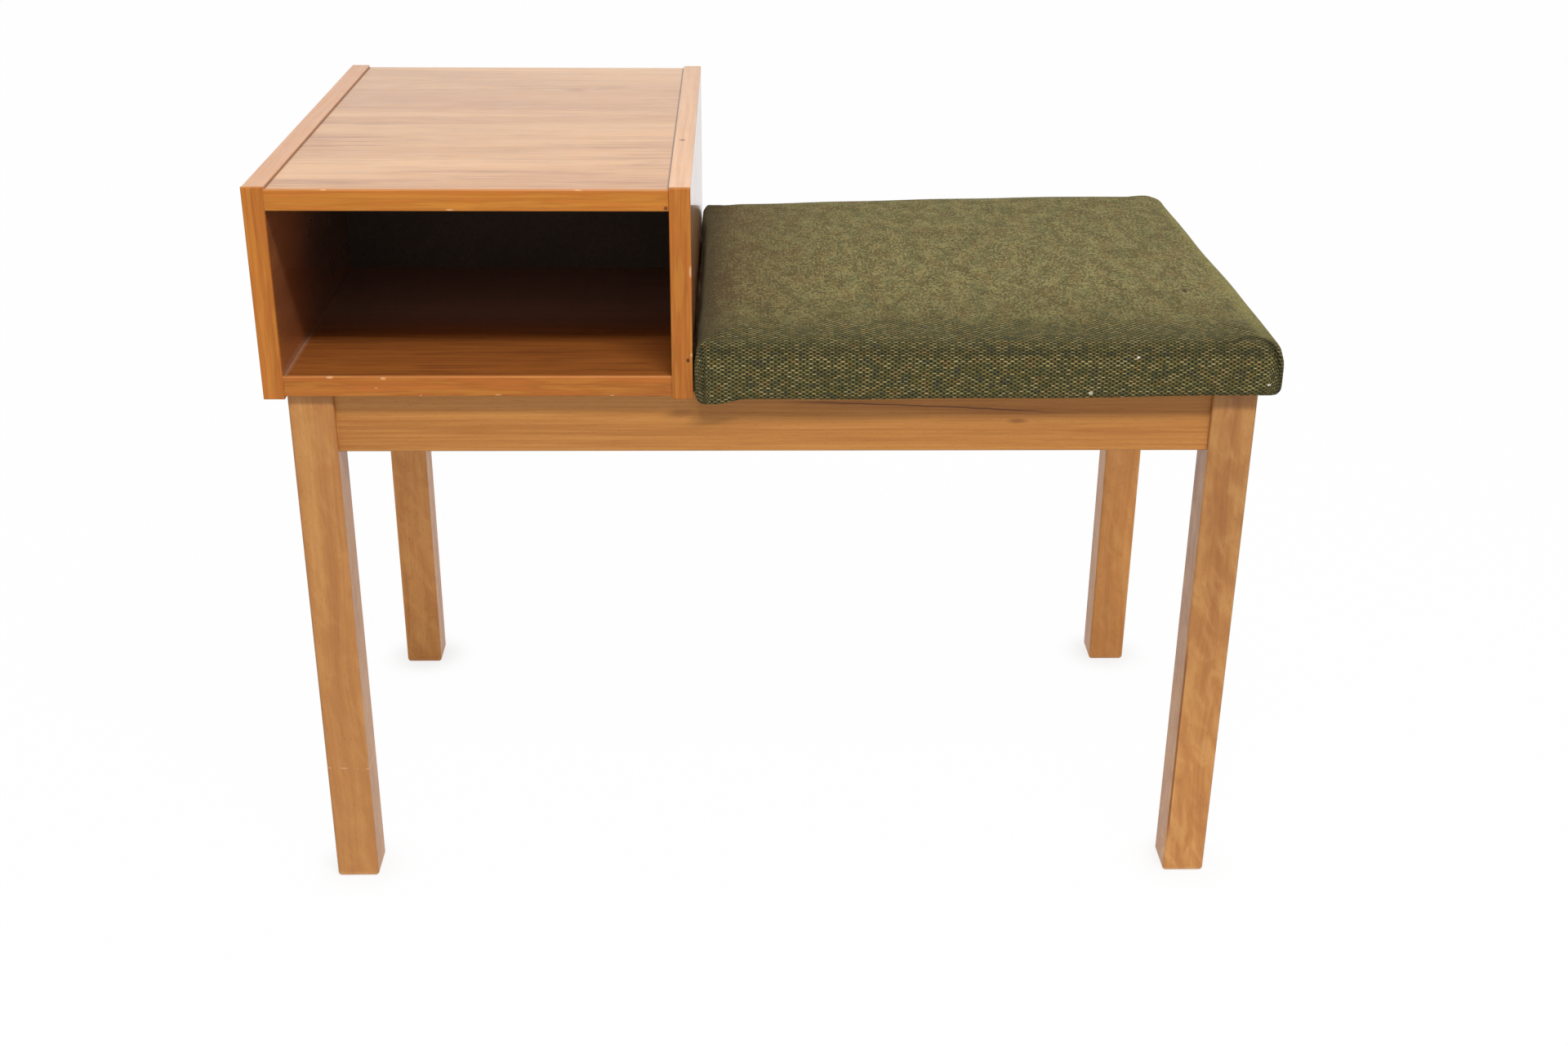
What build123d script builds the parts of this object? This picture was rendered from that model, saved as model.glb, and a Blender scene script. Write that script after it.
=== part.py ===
from build123d import *
import os

# Telephone bench: a frame of four legs and four rails carries an open cabinet on the left,
# where the telephone stands and the directories lie, and an upholstered seat on the right.
# Millimetres, +Z up, +X to the right, the front faces -Y. The origin is on the floor, under
# the middle of the bench's bounding box.

os.makedirs("parts", exist_ok=True)

# ---- Frame ----
frame_width = 750.0  # over the legs
frame_depth = 418.0
frame_top = 445.0
leg_width = 35.0  # square section
leg_easing = 2.5  # radius of the long arrises
foot_rounding = 4.0
rail_height = 50.0
rail_thickness = 22.0
rail_setback = 5.0  # rail's face behind the legs' faces
rail_easing = 1.2
tenon_thickness = 10.0
tenon_height = 36.0
tenon_shoulder = 6.0  # from the rail's lower edge up to the tenon
glue_gap = 0.5  # between the mitred ends of two tenons
mortise_pocket = 1.0  # past the tenon's tip

# ---- Corner blocks and cross batten ----
block_reach = 55.0  # along each rail, from the corner of the rails' inner faces
block_ear = 22.0  # length of the thin end where a screw's head sits
block_grip = 14.0  # wood under that screw's head
block_thickness = 22.0
block_drop = 2.0  # below the frame's top, so that the screws pull tight
batten_width = 100.0
batten_thickness = 24.0
batten_middle = 310.0  # from the frame's left end, under the joint of cabinet and seat
housing_depth = 6.0
cabinet_screw_inset = 18.0  # from the batten's left edge
seat_screw_inset = 15.0  # from its right edge
batten_screw_row = 120.0  # from the frame's front and back

# ---- Cabinet ----
panel_thickness = 16.0
lipping_thickness = 3.0
lipping_easing = 0.8
compartment_width = 295.5
cabinet_depth = 448.0
cabinet_overhang = 7.0  # in front of the legs
side_height = 165.0
side_lap = 2.0  # the sides reach below the frame's top
side_rise = 2.0  # the sides stand above the top panel
panel_setback = 1.5  # top and bottom behind the sides' front edges
rebate_width = 8.0
rebate_depth = 5.0
back_thickness = 4.0
back_clearance = 0.3
compartment_depth = 283.5  # from the sides' front edges to the compartment's own back
inner_back_thickness = 4.0
groove_depth = 4.0  # in sides, top and bottom, round the compartment's back
notch_clearance = 0.5

# ---- Seat ----
seat_gap = 1.5  # between the cabinet's side and the cover
seat_overhang = 15.0  # past the legs, at the right and the back
seat_front_overhang = 10.0
seat_height = 51.0  # at the top of the crown
crown_rise = 7.0  # from the level rim to the middle of the seat
crown_spread = 185.0  # from the middle of the seat to where the crown starts to rise
side_draw = 2.0  # how far the sides pull in between the corners
corner_radius = 28.0
edge_radius = 25.0
hem_bevel = 3.0
cover_thickness = 1.5  # under the board
padded_thickness = 3.0  # cover and wadding over the foam
cover_tuck = 60.0  # width of the cover that is turned in under the board
foam_bevel = 14.0
board_thickness = 12.0
board_inset = 5.5
board_corner = 24.0

# ---- Fasteners ----
screw_radius = 2.0
screw_head_radius = 4.0
screw_head_height = 2.4
screw_slot_width = 1.0
screw_slot_depth = 1.1
screw_slot_spare = 1.0  # the cut runs this far past the head
screw_flats = 12  # a screw is drawn with this many sides
long_screw = 35.0
short_screw = 28.0
pilot_radius = 2.1
pilot_spare = 1.0  # a pilot hole is this much deeper than its screw
block_hole_place = 45.0  # from both legs' outer faces
dowel_radius = 3.9
dowel_flutes = 12
dowel_hole_radius = 4.0
dowel_length = 30.0
dowel_in_side = 10.0
dowel_count = 3  # in each joint
dowel_row_end = 60.0  # from the panel's edge to the first dowel
pin_width = 1.2  # square wire
pin_hole_width = 1.4
pin_length = 15.0
pin_head_width = 2.6
pin_head_height = 0.6
pin_end_up = 25.0  # from the compartment's floor or ceiling to the first pin
pin_end_across = 40.0  # from the compartment's side to the first pin
staple_wire = 1.0
staple_crown = 10.0
staple_leg = 8.0
staple_hole = 1.2
staple_count = 5  # along each edge
staple_inset = 53.0  # from the cover's edge
staple_row_end = 40.0  # from the row's corner to its first staple

# ---- Places worked out from the sizes above ----
overall_width = panel_thickness + frame_width + seat_overhang
cabinet_back_overhang = cabinet_depth - cabinet_overhang - frame_depth
overall_depth = seat_front_overhang + frame_depth + cabinet_back_overhang
frame_left = -overall_width / 2 + panel_thickness
frame_right = frame_left + frame_width
frame_front = -overall_depth / 2 + seat_front_overhang
frame_back = frame_front + frame_depth
rail_bottom = frame_top - rail_height
rail_middle = rail_setback + rail_thickness / 2
rail_inside = rail_setback + rail_thickness
tenon_bottom = rail_bottom + tenon_shoulder
tenon_outside = rail_middle - tenon_thickness / 2
tenon_inside = rail_middle + tenon_thickness / 2
block_tip = rail_inside + block_reach
ear_start = block_tip - block_ear
ear_face = rail_inside + block_grip
ear_screw = block_tip - block_ear / 2
block_top = frame_top - block_drop
block_bottom = block_top - block_thickness
block_middle = block_bottom + block_thickness / 2
batten_bottom = frame_top - batten_thickness
batten_x = frame_left + batten_middle

inner_left = frame_left  # the left side hangs against the legs' outer faces
inner_right = inner_left + compartment_width
cabinet_right = inner_right + panel_thickness
cabinet_front = frame_front - cabinet_overhang
cabinet_back_face = cabinet_front + cabinet_depth
panel_front = cabinet_front + panel_setback
inner_back_face = cabinet_front + compartment_depth
groove_middle = inner_back_face + inner_back_thickness / 2
side_bottom = frame_top - side_lap
side_top = side_bottom + side_height
floor_top = frame_top + panel_thickness
top_face = side_top - side_rise
ceiling = top_face - panel_thickness

seat_left = cabinet_right + seat_gap
seat_right = frame_right + seat_overhang
seat_front = frame_front - seat_front_overhang
seat_back = frame_back + seat_overhang
seat_width = seat_right - seat_left
seat_depth = seat_back - seat_front
seat_x = (seat_left + seat_right) / 2
seat_y = (seat_front + seat_back) / 2
seat_top = frame_top + seat_height
rim_level = seat_top - crown_rise
crown_radius = (crown_spread**2 + crown_rise**2) / (2 * crown_rise)
board_bottom = frame_top + cover_thickness
board_top = board_bottom + board_thickness

# Each corner of the frame has its own plane at the leg's outer corner. Its X and Y run along
# the two rails that meet there, inwards, so one drawing serves all four corners.
corners = {
    "front_left": Plane((frame_left, frame_front, 0), x_dir=(1, 0, 0), z_dir=(0, 0, 1)),
    "front_right": Plane((frame_right, frame_front, 0), x_dir=(0, 1, 0), z_dir=(0, 0, 1)),
    "back_right": Plane((frame_right, frame_back, 0), x_dir=(-1, 0, 0), z_dir=(0, 0, 1)),
    "back_left": Plane((frame_left, frame_back, 0), x_dir=(0, -1, 0), z_dir=(0, 0, 1)),
}


def keep(piece, name):
    """Name a finished piece and write it to its own file."""
    piece.part.label = name
    export_step(piece.part, f"parts/{name}.step")


def spread(first, last, count):
    """Evenly spaced places from first to last."""
    return [first + (last - first) * i / (count - 1) for i in range(count)]


def drill(place, towards, radius, depth):
    """Blind hole from a point on a surface, into the piece that is being made."""
    with Locations(Plane(place, z_dir=tuple(-value for value in towards))):
        Hole(radius=radius, depth=depth)


def punch(place, towards, width, depth):
    """Square hole for a pin, from a point on a surface into the piece that is being made."""
    with BuildSketch(Plane(place, z_dir=towards)) as opening:
        Rectangle(width, width)
    extrude(opening.sketch, amount=depth, mode=Mode.SUBTRACT)


def add_screw(place, towards, length):
    """Slotted wood screw; the place is under its head, and it is driven towards a direction."""
    seat = Plane(place, z_dir=towards)
    with BuildSketch(seat) as head:
        RegularPolygon(screw_head_radius, side_count=screw_flats)
    extrude(head.sketch, amount=-screw_head_height)
    with BuildSketch(seat) as shank:
        RegularPolygon(screw_radius, side_count=screw_flats)
    extrude(shank.sketch, amount=length)
    with BuildSketch(seat.offset(-screw_head_height)) as slot:
        Rectangle(2 * screw_head_radius + screw_slot_spare, screw_slot_width)
    extrude(slot.sketch, amount=screw_slot_depth, mode=Mode.SUBTRACT)


def on_plane(plane, x, y, z):
    """A corner plane's own coordinates as a place in the room."""
    return tuple(plane.from_local_coords((x, y, z)))


# ---- Legs: square, with two mortises that meet inside for the mitred tenons ----
slot_end = tenon_outside - mortise_pocket
slot_middle = (slot_end + leg_width) / 2
for corner, plane in corners.items():
    with BuildPart() as leg:
        with BuildSketch(plane):
            with Locations((leg_width / 2, leg_width / 2)):
                Rectangle(leg_width, leg_width)
        extrude(amount=frame_top)
        fillet(leg.faces().sort_by(Axis.Z)[0].edges(), radius=foot_rounding)
        fillet(leg.edges().filter_by(Axis.Z), radius=leg_easing)
        with BuildSketch(plane.offset(tenon_bottom)):
            with Locations((slot_middle, rail_middle)):
                Rectangle(leg_width - slot_end, tenon_thickness)
            with Locations((rail_middle, slot_middle)):
                Rectangle(tenon_thickness, leg_width - slot_end)
        extrude(amount=tenon_height, mode=Mode.SUBTRACT)
    keep(leg, f"leg_{corner}")


# ---- Rails ----
def rail(name, corner, span, housed):
    """Rail from one corner to the next, with mitred tenons; housed where the batten drops in."""
    plane = corners[corner]
    with BuildPart() as piece:
        with BuildSketch(plane.offset(rail_bottom)):
            with Locations((span / 2, rail_middle)):
                Rectangle(span - 2 * leg_width, rail_thickness)
        extrude(amount=rail_height)
        lower = piece.edges().group_by(Axis.Z)[0].sort_by(SortBy.LENGTH)[-2:]
        fillet(lower, radius=rail_easing)
        with BuildSketch(plane.offset(tenon_bottom)):
            with BuildLine():
                Polyline(
                    (tenon_outside + glue_gap, tenon_outside),
                    (span - tenon_outside - glue_gap, tenon_outside),
                    (span - tenon_inside - glue_gap, tenon_inside),
                    (tenon_inside + glue_gap, tenon_inside),
                    close=True,
                )
            make_face()
        extrude(amount=tenon_height)
        for along in (ear_screw, span - ear_screw):
            start = on_plane(plane, along, rail_inside, block_middle)
            drill(start, -plane.y_dir, pilot_radius, short_screw - block_grip + pilot_spare)
        if housed:
            side = 1 if corner == "front_left" else -1
            inside = (frame_front if side == 1 else frame_back) + side * rail_inside
            with BuildSketch(Plane.XY.offset(batten_bottom)):
                with Locations((batten_x, inside - side * housing_depth / 2)):
                    Rectangle(batten_width, housing_depth)
            extrude(amount=batten_thickness, mode=Mode.SUBTRACT)
    keep(piece, name)


rail("front_rail", "front_left", frame_width, housed=True)
rail("right_rail", "front_right", frame_depth, housed=False)
rail("back_rail", "back_right", frame_width, housed=True)
rail("left_rail", "back_left", frame_depth, housed=False)

# ---- Corner blocks, glued and screwed into the corners of the rails ----
# Seen from above a block fills the corner round the leg, and its two ears lie along the rails.
for corner, plane in corners.items():
    with BuildPart() as corner_block:
        with BuildSketch(plane.offset(block_bottom)):
            with BuildLine():
                Polyline(
                    (leg_width, rail_inside),
                    (block_tip, rail_inside),
                    (block_tip, ear_face),
                    (ear_start, ear_face),
                    (ear_face, ear_start),
                    (ear_face, block_tip),
                    (rail_inside, block_tip),
                    (rail_inside, leg_width),
                    (leg_width, leg_width),
                    close=True,
                )
            make_face()
        extrude(amount=block_thickness)
        up_hole = on_plane(plane, block_hole_place, block_hole_place, block_bottom)
        drill(up_hole, (0, 0, 1), pilot_radius, block_thickness)
        x_ear = on_plane(plane, ear_screw, ear_face, block_middle)
        y_ear = on_plane(plane, ear_face, ear_screw, block_middle)
        drill(x_ear, -plane.y_dir, pilot_radius, block_grip)
        drill(y_ear, -plane.x_dir, pilot_radius, block_grip)
    keep(corner_block, f"corner_block_{corner}")

with BuildPart() as corner_block_screws:
    for plane in corners.values():
        x_ear = on_plane(plane, ear_screw, ear_face, block_middle)
        y_ear = on_plane(plane, ear_face, ear_screw, block_middle)
        add_screw(x_ear, -plane.y_dir, short_screw)
        add_screw(y_ear, -plane.x_dir, short_screw)
keep(corner_block_screws, "corner_block_screws")

# ---- Cross batten under the joint between cabinet and seat ----
batten_start = frame_front + rail_inside - housing_depth
batten_end = frame_back - rail_inside + housing_depth
cabinet_screw_x = batten_x - batten_width / 2 + cabinet_screw_inset
seat_screw_x = batten_x + batten_width / 2 - seat_screw_inset
batten_screw_rows = (frame_front + batten_screw_row, frame_back - batten_screw_row)

with BuildPart() as centre_batten:
    with BuildSketch(Plane.XY.offset(batten_bottom)):
        with Locations((batten_x, (batten_start + batten_end) / 2)):
            Rectangle(batten_width, batten_end - batten_start)
    extrude(amount=batten_thickness)
    for hole_x in (cabinet_screw_x, seat_screw_x):
        for hole_y in batten_screw_rows:
            drill((hole_x, hole_y, batten_bottom), (0, 0, 1), pilot_radius, batten_thickness)
keep(centre_batten, "centre_batten")

# Screws that go up through blocks and batten, into the cabinet and into the seat board.
cabinet_screw_places = [
    on_plane(corners["front_left"], block_hole_place, block_hole_place, block_bottom),
    on_plane(corners["back_left"], block_hole_place, block_hole_place, block_bottom),
    *[(cabinet_screw_x, row, batten_bottom) for row in batten_screw_rows],
]
seat_screw_places = [
    on_plane(corners["front_right"], block_hole_place, block_hole_place, block_bottom),
    on_plane(corners["back_right"], block_hole_place, block_hole_place, block_bottom),
    *[(seat_screw_x, row, batten_bottom) for row in batten_screw_rows],
]

with BuildPart() as cabinet_screws:
    for place in cabinet_screw_places:
        add_screw(place, (0, 0, 1), long_screw)
keep(cabinet_screws, "cabinet_screws")

with BuildPart() as seat_screws:
    for place in seat_screw_places:
        add_screw(place, (0, 0, 1), long_screw)
keep(seat_screws, "seat_screws")

# ---- Cabinet ----
dowel_rows = spread(cabinet_front + dowel_row_end, cabinet_back_face - dowel_row_end, dowel_count)
dowel_levels = (frame_top + panel_thickness / 2, ceiling + panel_thickness / 2)
pin_level_rows = (floor_top + pin_end_up, ceiling - pin_end_up)
pin_cross_rows = spread(inner_left + pin_end_across, inner_right - pin_end_across, 3)
pin_start = cabinet_back_face - rebate_depth + back_thickness
pin_places = [
    *[(inner_left - rebate_width / 2, pin_start, z) for z in pin_level_rows],
    *[(inner_right + rebate_width / 2, pin_start, z) for z in pin_level_rows],
    *[(x, pin_start, floor_top - rebate_width / 2) for x in pin_cross_rows],
    *[(x, pin_start, ceiling + rebate_width / 2) for x in pin_cross_rows],
]


def cabinet_side(name, inner_face, outward):
    """One side: board, rebated and grooved for the two backs and bored for the dowels."""
    outer_face = inner_face + outward * panel_thickness
    with BuildPart() as board:
        with BuildSketch(Plane.YZ.offset(min(inner_face, outer_face))):
            board_front = cabinet_front + lipping_thickness
            board_height = side_height - lipping_thickness
            board_middle = (board_front + cabinet_back_face) / 2
            with Locations((board_middle, side_bottom + board_height / 2)):
                Rectangle(cabinet_back_face - board_front, board_height)
        extrude(amount=panel_thickness)
        with BuildSketch(Plane.YZ.offset(inner_face)):
            with Locations((cabinet_back_face - rebate_depth / 2, (floor_top + ceiling) / 2)):
                Rectangle(rebate_depth, ceiling - floor_top + 2 * rebate_width)
        extrude(amount=outward * rebate_width, mode=Mode.SUBTRACT)
        with BuildSketch(Plane.YZ.offset(inner_face)):
            with Locations((groove_middle, (floor_top + ceiling) / 2)):
                Rectangle(inner_back_thickness, ceiling - floor_top + 2 * groove_depth)
        extrude(amount=outward * groove_depth, mode=Mode.SUBTRACT)
        for row in dowel_rows:
            for level in dowel_levels:
                depth = dowel_in_side + pilot_spare
                drill((inner_face, row, level), (outward, 0, 0), dowel_hole_radius, depth)
        for x, y, z in pin_places:
            if min(inner_face, outer_face) < x < max(inner_face, outer_face):
                depth = pin_length - back_thickness + pilot_spare
                punch((x, y - back_thickness, z), (0, -1, 0), pin_hole_width, depth)
        if outward > 0:
            # This side crosses the frame, so its lower edge is cut back to stand on it.
            notch_front = frame_front + rail_setback - notch_clearance
            notch_back = frame_back - rail_setback + notch_clearance
            with BuildSketch(Plane.YZ.offset(inner_face)):
                with Locations(((notch_front + notch_back) / 2, side_bottom + side_lap / 2)):
                    Rectangle(notch_back - notch_front, side_lap)
            extrude(amount=panel_thickness, mode=Mode.SUBTRACT)
    keep(board, f"cabinet_{name}_side")

    with BuildPart() as front_lipping:
        with BuildSketch(Plane.XY.offset(side_bottom)):
            lipping_middle = (inner_face + outer_face) / 2
            with Locations((lipping_middle, cabinet_front + lipping_thickness / 2)):
                Rectangle(panel_thickness, lipping_thickness)
        extrude(amount=side_height)
        front_edges = front_lipping.faces().sort_by(Axis.Y)[0].edges()
        fillet(front_edges, radius=lipping_easing)
    keep(front_lipping, f"{name}_side_front_lipping")

    with BuildPart() as upper_lipping:
        with BuildSketch(Plane.XZ.offset(-cabinet_back_face)):
            with Locations((lipping_middle, side_top - lipping_thickness / 2)):
                Rectangle(panel_thickness, lipping_thickness)
        extrude(amount=cabinet_depth - lipping_thickness)
        long_edges = upper_lipping.faces().sort_by(Axis.Z)[-1].edges().filter_by(Axis.Y)
        fillet(long_edges, radius=lipping_easing)
    keep(upper_lipping, f"{name}_side_top_lipping")


cabinet_side("left", inner_left, outward=-1)
cabinet_side("right", inner_right, outward=1)


def cross_panel(name, underside, rebate_level, groove_level):
    """Top or bottom between the sides, rebated and grooved for the backs, with its lipping."""
    with BuildPart() as board:
        board_front = panel_front + lipping_thickness
        with BuildSketch(Plane.XY.offset(underside)):
            board_middle = (board_front + cabinet_back_face) / 2
            with Locations(((inner_left + inner_right) / 2, board_middle)):
                Rectangle(compartment_width, cabinet_back_face - board_front)
        extrude(amount=panel_thickness)
        with BuildSketch(Plane.XY.offset(rebate_level)):
            rebate_middle = cabinet_back_face - rebate_depth / 2
            with Locations(((inner_left + inner_right) / 2, rebate_middle)):
                Rectangle(compartment_width, rebate_depth)
        extrude(amount=rebate_width, mode=Mode.SUBTRACT)
        with BuildSketch(Plane.XY.offset(groove_level)):
            with Locations(((inner_left + inner_right) / 2, groove_middle)):
                Rectangle(compartment_width, inner_back_thickness)
        extrude(amount=groove_depth, mode=Mode.SUBTRACT)
        for row in dowel_rows:
            level = underside + panel_thickness / 2
            depth = dowel_length - dowel_in_side + pilot_spare
            drill((inner_left, row, level), (1, 0, 0), dowel_hole_radius, depth)
            drill((inner_right, row, level), (-1, 0, 0), dowel_hole_radius, depth)
        for x, y, z in pin_places:
            if underside < z < underside + panel_thickness and inner_left < x < inner_right:
                depth = pin_length - back_thickness + pilot_spare
                punch((x, y - back_thickness, z), (0, -1, 0), pin_hole_width, depth)
        if name == "bottom":
            for x, y, z in cabinet_screw_places:
                depth = z + long_screw + pilot_spare - frame_top
                drill((x, y, frame_top), (0, 0, 1), pilot_radius, depth)
    keep(board, f"cabinet_{name}")

    with BuildPart() as lipping:
        with BuildSketch(Plane.XY.offset(underside)):
            with Locations(((inner_left + inner_right) / 2, panel_front + lipping_thickness / 2)):
                Rectangle(compartment_width, lipping_thickness)
        extrude(amount=panel_thickness)
        front_edges = lipping.faces().sort_by(Axis.Y)[0].edges().filter_by(Axis.X)
        fillet(front_edges, radius=lipping_easing)
    keep(lipping, f"{name}_lipping")


cross_panel("bottom", frame_top, floor_top - rebate_width, floor_top - groove_depth)
cross_panel("top", ceiling, ceiling, ceiling)

with BuildPart() as compartment_back:
    lap = 2 * (groove_depth - back_clearance)
    with BuildSketch(Plane.XZ.offset(-inner_back_face)):
        with Locations(((inner_left + inner_right) / 2, (floor_top + ceiling) / 2)):
            Rectangle(compartment_width + lap, ceiling - floor_top + lap)
    extrude(amount=-inner_back_thickness)
keep(compartment_back, "compartment_back")

with BuildPart() as cabinet_back:
    lap = 2 * (rebate_width - back_clearance)
    with BuildSketch(Plane.XZ.offset(-pin_start)):
        with Locations(((inner_left + inner_right) / 2, (floor_top + ceiling) / 2)):
            Rectangle(compartment_width + lap, ceiling - floor_top + lap)
    extrude(amount=back_thickness)
    for place in pin_places:
        punch(place, (0, -1, 0), pin_hole_width, back_thickness)
keep(cabinet_back, "cabinet_back")

with BuildPart() as cabinet_dowels:
    dowel_ends = [(row, level) for row in dowel_rows for level in dowel_levels]
    dowel_in_panel = dowel_length - dowel_in_side
    for start in (inner_left - dowel_in_side, inner_right - dowel_in_panel):
        with BuildSketch(Plane.YZ.offset(start)):
            with Locations(dowel_ends):
                RegularPolygon(dowel_radius, side_count=dowel_flutes)
        extrude(amount=dowel_length)
keep(cabinet_dowels, "cabinet_dowels")

with BuildPart() as back_panel_pins:
    pin_ends = [(x, z) for x, y, z in pin_places]
    with BuildSketch(Plane.XZ.offset(-pin_start)):
        with Locations(pin_ends):
            Rectangle(pin_width, pin_width)
    extrude(amount=pin_length)
    with BuildSketch(Plane.XZ.offset(-pin_start)):
        with Locations(pin_ends):
            Rectangle(pin_head_width, pin_head_width)
    extrude(amount=-pin_head_height)
keep(back_panel_pins, "back_panel_pins")


# ---- Seat ----
def bowed_plan(level, shrink):
    """Plan of the seat, or one inside it by shrink all round: full corners, drawn-in sides."""
    half_width = seat_width / 2 - shrink
    half_depth = seat_depth / 2 - shrink
    corner_points = [
        (-half_width, -half_depth),
        (half_width, -half_depth),
        (half_width, half_depth),
        (-half_width, half_depth),
    ]
    drawn_points = [
        (0, -half_depth + side_draw),
        (half_width - side_draw, 0),
        (0, half_depth - side_draw),
        (-half_width + side_draw, 0),
    ]
    with BuildSketch(Plane((seat_x, seat_y, level))) as plan:
        with BuildLine():
            for i, drawn in enumerate(drawn_points):
                ThreePointArc(corner_points[i], drawn, corner_points[(i + 1) % 4])
        make_face()
        fillet(plan.vertices(), radius=corner_radius - shrink)
    return plan.sketch


def crown(shrink):
    """Shallow dome that stands on the rim: the cap of a large ball, with its poles to the sides."""
    with BuildPart() as dome:
        with Locations((seat_x, seat_y, seat_top - crown_radius)):
            Sphere(crown_radius - shrink, rotation=(90, 0, 0))
        split(bisect_by=Plane.XY.offset(rim_level - shrink), keep=Keep.TOP)
    return dome.part


def foam_form(bottom):
    """The bevelled and crowned block inside the cover, from a level upwards."""
    with BuildPart() as form:
        plan = bowed_plan(bottom, padded_thickness)
        extrude(plan, amount=rim_level - padded_thickness - bottom)
        chamfer(form.faces().sort_by(Axis.Z)[-1].edges(), length=foam_bevel)
        add(crown(padded_thickness))
    return form.part


# Staples: their two legs go up through the cover's tuck into the board.
staple_left = seat_left + staple_inset
staple_right = seat_right - staple_inset
staple_front = seat_front + staple_inset
staple_back = seat_back - staple_inset
along_x = spread(staple_left + staple_row_end, staple_right - staple_row_end, staple_count)
along_y = spread(staple_front + staple_row_end, staple_back - staple_row_end, staple_count)
staples = [
    *[(x, y, True) for y in (staple_front, staple_back) for x in along_x],
    *[(x, y, False) for x in (staple_left, staple_right) for y in along_y],
]
leg_half_gap = (staple_crown - staple_wire) / 2
staple_leg_places = []
for x, y, lies_along_x in staples:
    for side in (-leg_half_gap, leg_half_gap):
        staple_leg_places.append((x + side, y) if lies_along_x else (x, y + side))


def cut_staple_holes(start_level, depth):
    """Square holes that the staples' legs stand in."""
    with BuildSketch(Plane.XY.offset(start_level)) as holes:
        with Locations(staple_leg_places):
            Rectangle(staple_hole, staple_hole)
    extrude(holes.sketch, amount=depth, mode=Mode.SUBTRACT)


with BuildPart() as seat_board:
    with BuildSketch(Plane((seat_x, seat_y, board_bottom))):
        RectangleRounded(seat_width - 2 * board_inset, seat_depth - 2 * board_inset, board_corner)
    extrude(amount=board_thickness)
    cut_staple_holes(board_bottom, staple_leg - cover_thickness + pilot_spare)
    for x, y, z in seat_screw_places:
        hole_depth = z + long_screw + pilot_spare - board_bottom
        drill((x, y, board_bottom), (0, 0, 1), pilot_radius, hole_depth)
keep(seat_board, "seat_board")

with BuildPart() as seat_foam:
    add(foam_form(board_top))
keep(seat_foam, "seat_foam")

with BuildPart() as seat_cover:
    extrude(bowed_plan(frame_top, 0), amount=seat_height - crown_rise)
    fillet(seat_cover.faces().sort_by(Axis.Z)[-1].edges(), radius=edge_radius)
    chamfer(seat_cover.faces().sort_by(Axis.Z)[0].edges(), length=hem_bevel)
    add(crown(0))
    add(foam_form(board_bottom), mode=Mode.SUBTRACT)
    with BuildSketch(Plane((seat_x, seat_y, frame_top))):
        Rectangle(seat_width - 2 * cover_tuck, seat_depth - 2 * cover_tuck)
    extrude(amount=cover_thickness, mode=Mode.SUBTRACT)
    cut_staple_holes(frame_top, cover_thickness)
    for x, y, z in seat_screw_places:
        if z == batten_bottom:
            drill((x, y, frame_top), (0, 0, 1), pilot_radius, cover_thickness)
keep(seat_cover, "seat_cover")

with BuildPart() as seat_staples:
    for x, y, lies_along_x in staples:
        crown_way = (1, 0, 0) if lies_along_x else (0, 1, 0)
        face_way = (0, -1, 0) if lies_along_x else (1, 0, 0)
        with BuildSketch(Plane((x, y, frame_top), x_dir=crown_way, z_dir=face_way)):
            with Locations((0, -staple_wire / 4)):
                Rectangle(staple_crown, staple_wire / 2)
            with Locations((-leg_half_gap, staple_leg / 2), (leg_half_gap, staple_leg / 2)):
                Rectangle(staple_wire, staple_leg)
        extrude(amount=staple_wire / 2, both=True)
keep(seat_staples, "seat_staples")

print("overall", overall_width, overall_depth, side_top)
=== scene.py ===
import math

import bpy
import numpy as np
from mathutils import Matrix, Vector


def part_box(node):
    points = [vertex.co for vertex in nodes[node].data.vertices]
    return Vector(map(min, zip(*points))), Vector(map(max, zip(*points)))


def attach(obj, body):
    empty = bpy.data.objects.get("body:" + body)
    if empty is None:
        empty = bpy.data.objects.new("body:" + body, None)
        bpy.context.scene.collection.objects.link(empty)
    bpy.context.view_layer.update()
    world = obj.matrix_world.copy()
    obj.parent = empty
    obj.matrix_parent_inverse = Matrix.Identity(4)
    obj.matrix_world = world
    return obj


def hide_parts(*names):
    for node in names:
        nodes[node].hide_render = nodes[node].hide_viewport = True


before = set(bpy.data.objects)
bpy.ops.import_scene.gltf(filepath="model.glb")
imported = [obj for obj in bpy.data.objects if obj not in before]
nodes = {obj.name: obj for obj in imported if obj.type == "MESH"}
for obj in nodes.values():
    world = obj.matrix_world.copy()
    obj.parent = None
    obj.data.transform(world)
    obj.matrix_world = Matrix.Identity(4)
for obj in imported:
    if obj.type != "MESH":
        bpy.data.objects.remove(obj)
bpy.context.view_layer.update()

# ---------------------------------------------------------------- places on the bench, in metres
SIDE_THICKNESS = 0.016
CABINET_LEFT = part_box("cabinet_left_side")[0].x
CABINET_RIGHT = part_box("cabinet_right_side")[1].x
CABINET_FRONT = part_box("left_side_front_lipping")[0].y
PANEL_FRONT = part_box("top_lipping")[0].y
RAIL_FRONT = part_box("front_rail")[0].y
LEG_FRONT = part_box("leg_front_left")[0].y
SEAT_LOW, SEAT_HIGH = Vector((-0.0615, -0.2255, 0.445)), Vector((0.3905, 0.2175, 0.496))
SEAT_CENTRE = ((SEAT_LOW.x + SEAT_HIGH.x) / 2, (SEAT_LOW.y + SEAT_HIGH.y) / 2)
HALF_WIDE, HALF_DEEP = (SEAT_HIGH.x - SEAT_LOW.x) / 2, (SEAT_HIGH.y - SEAT_LOW.y) / 2


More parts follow.
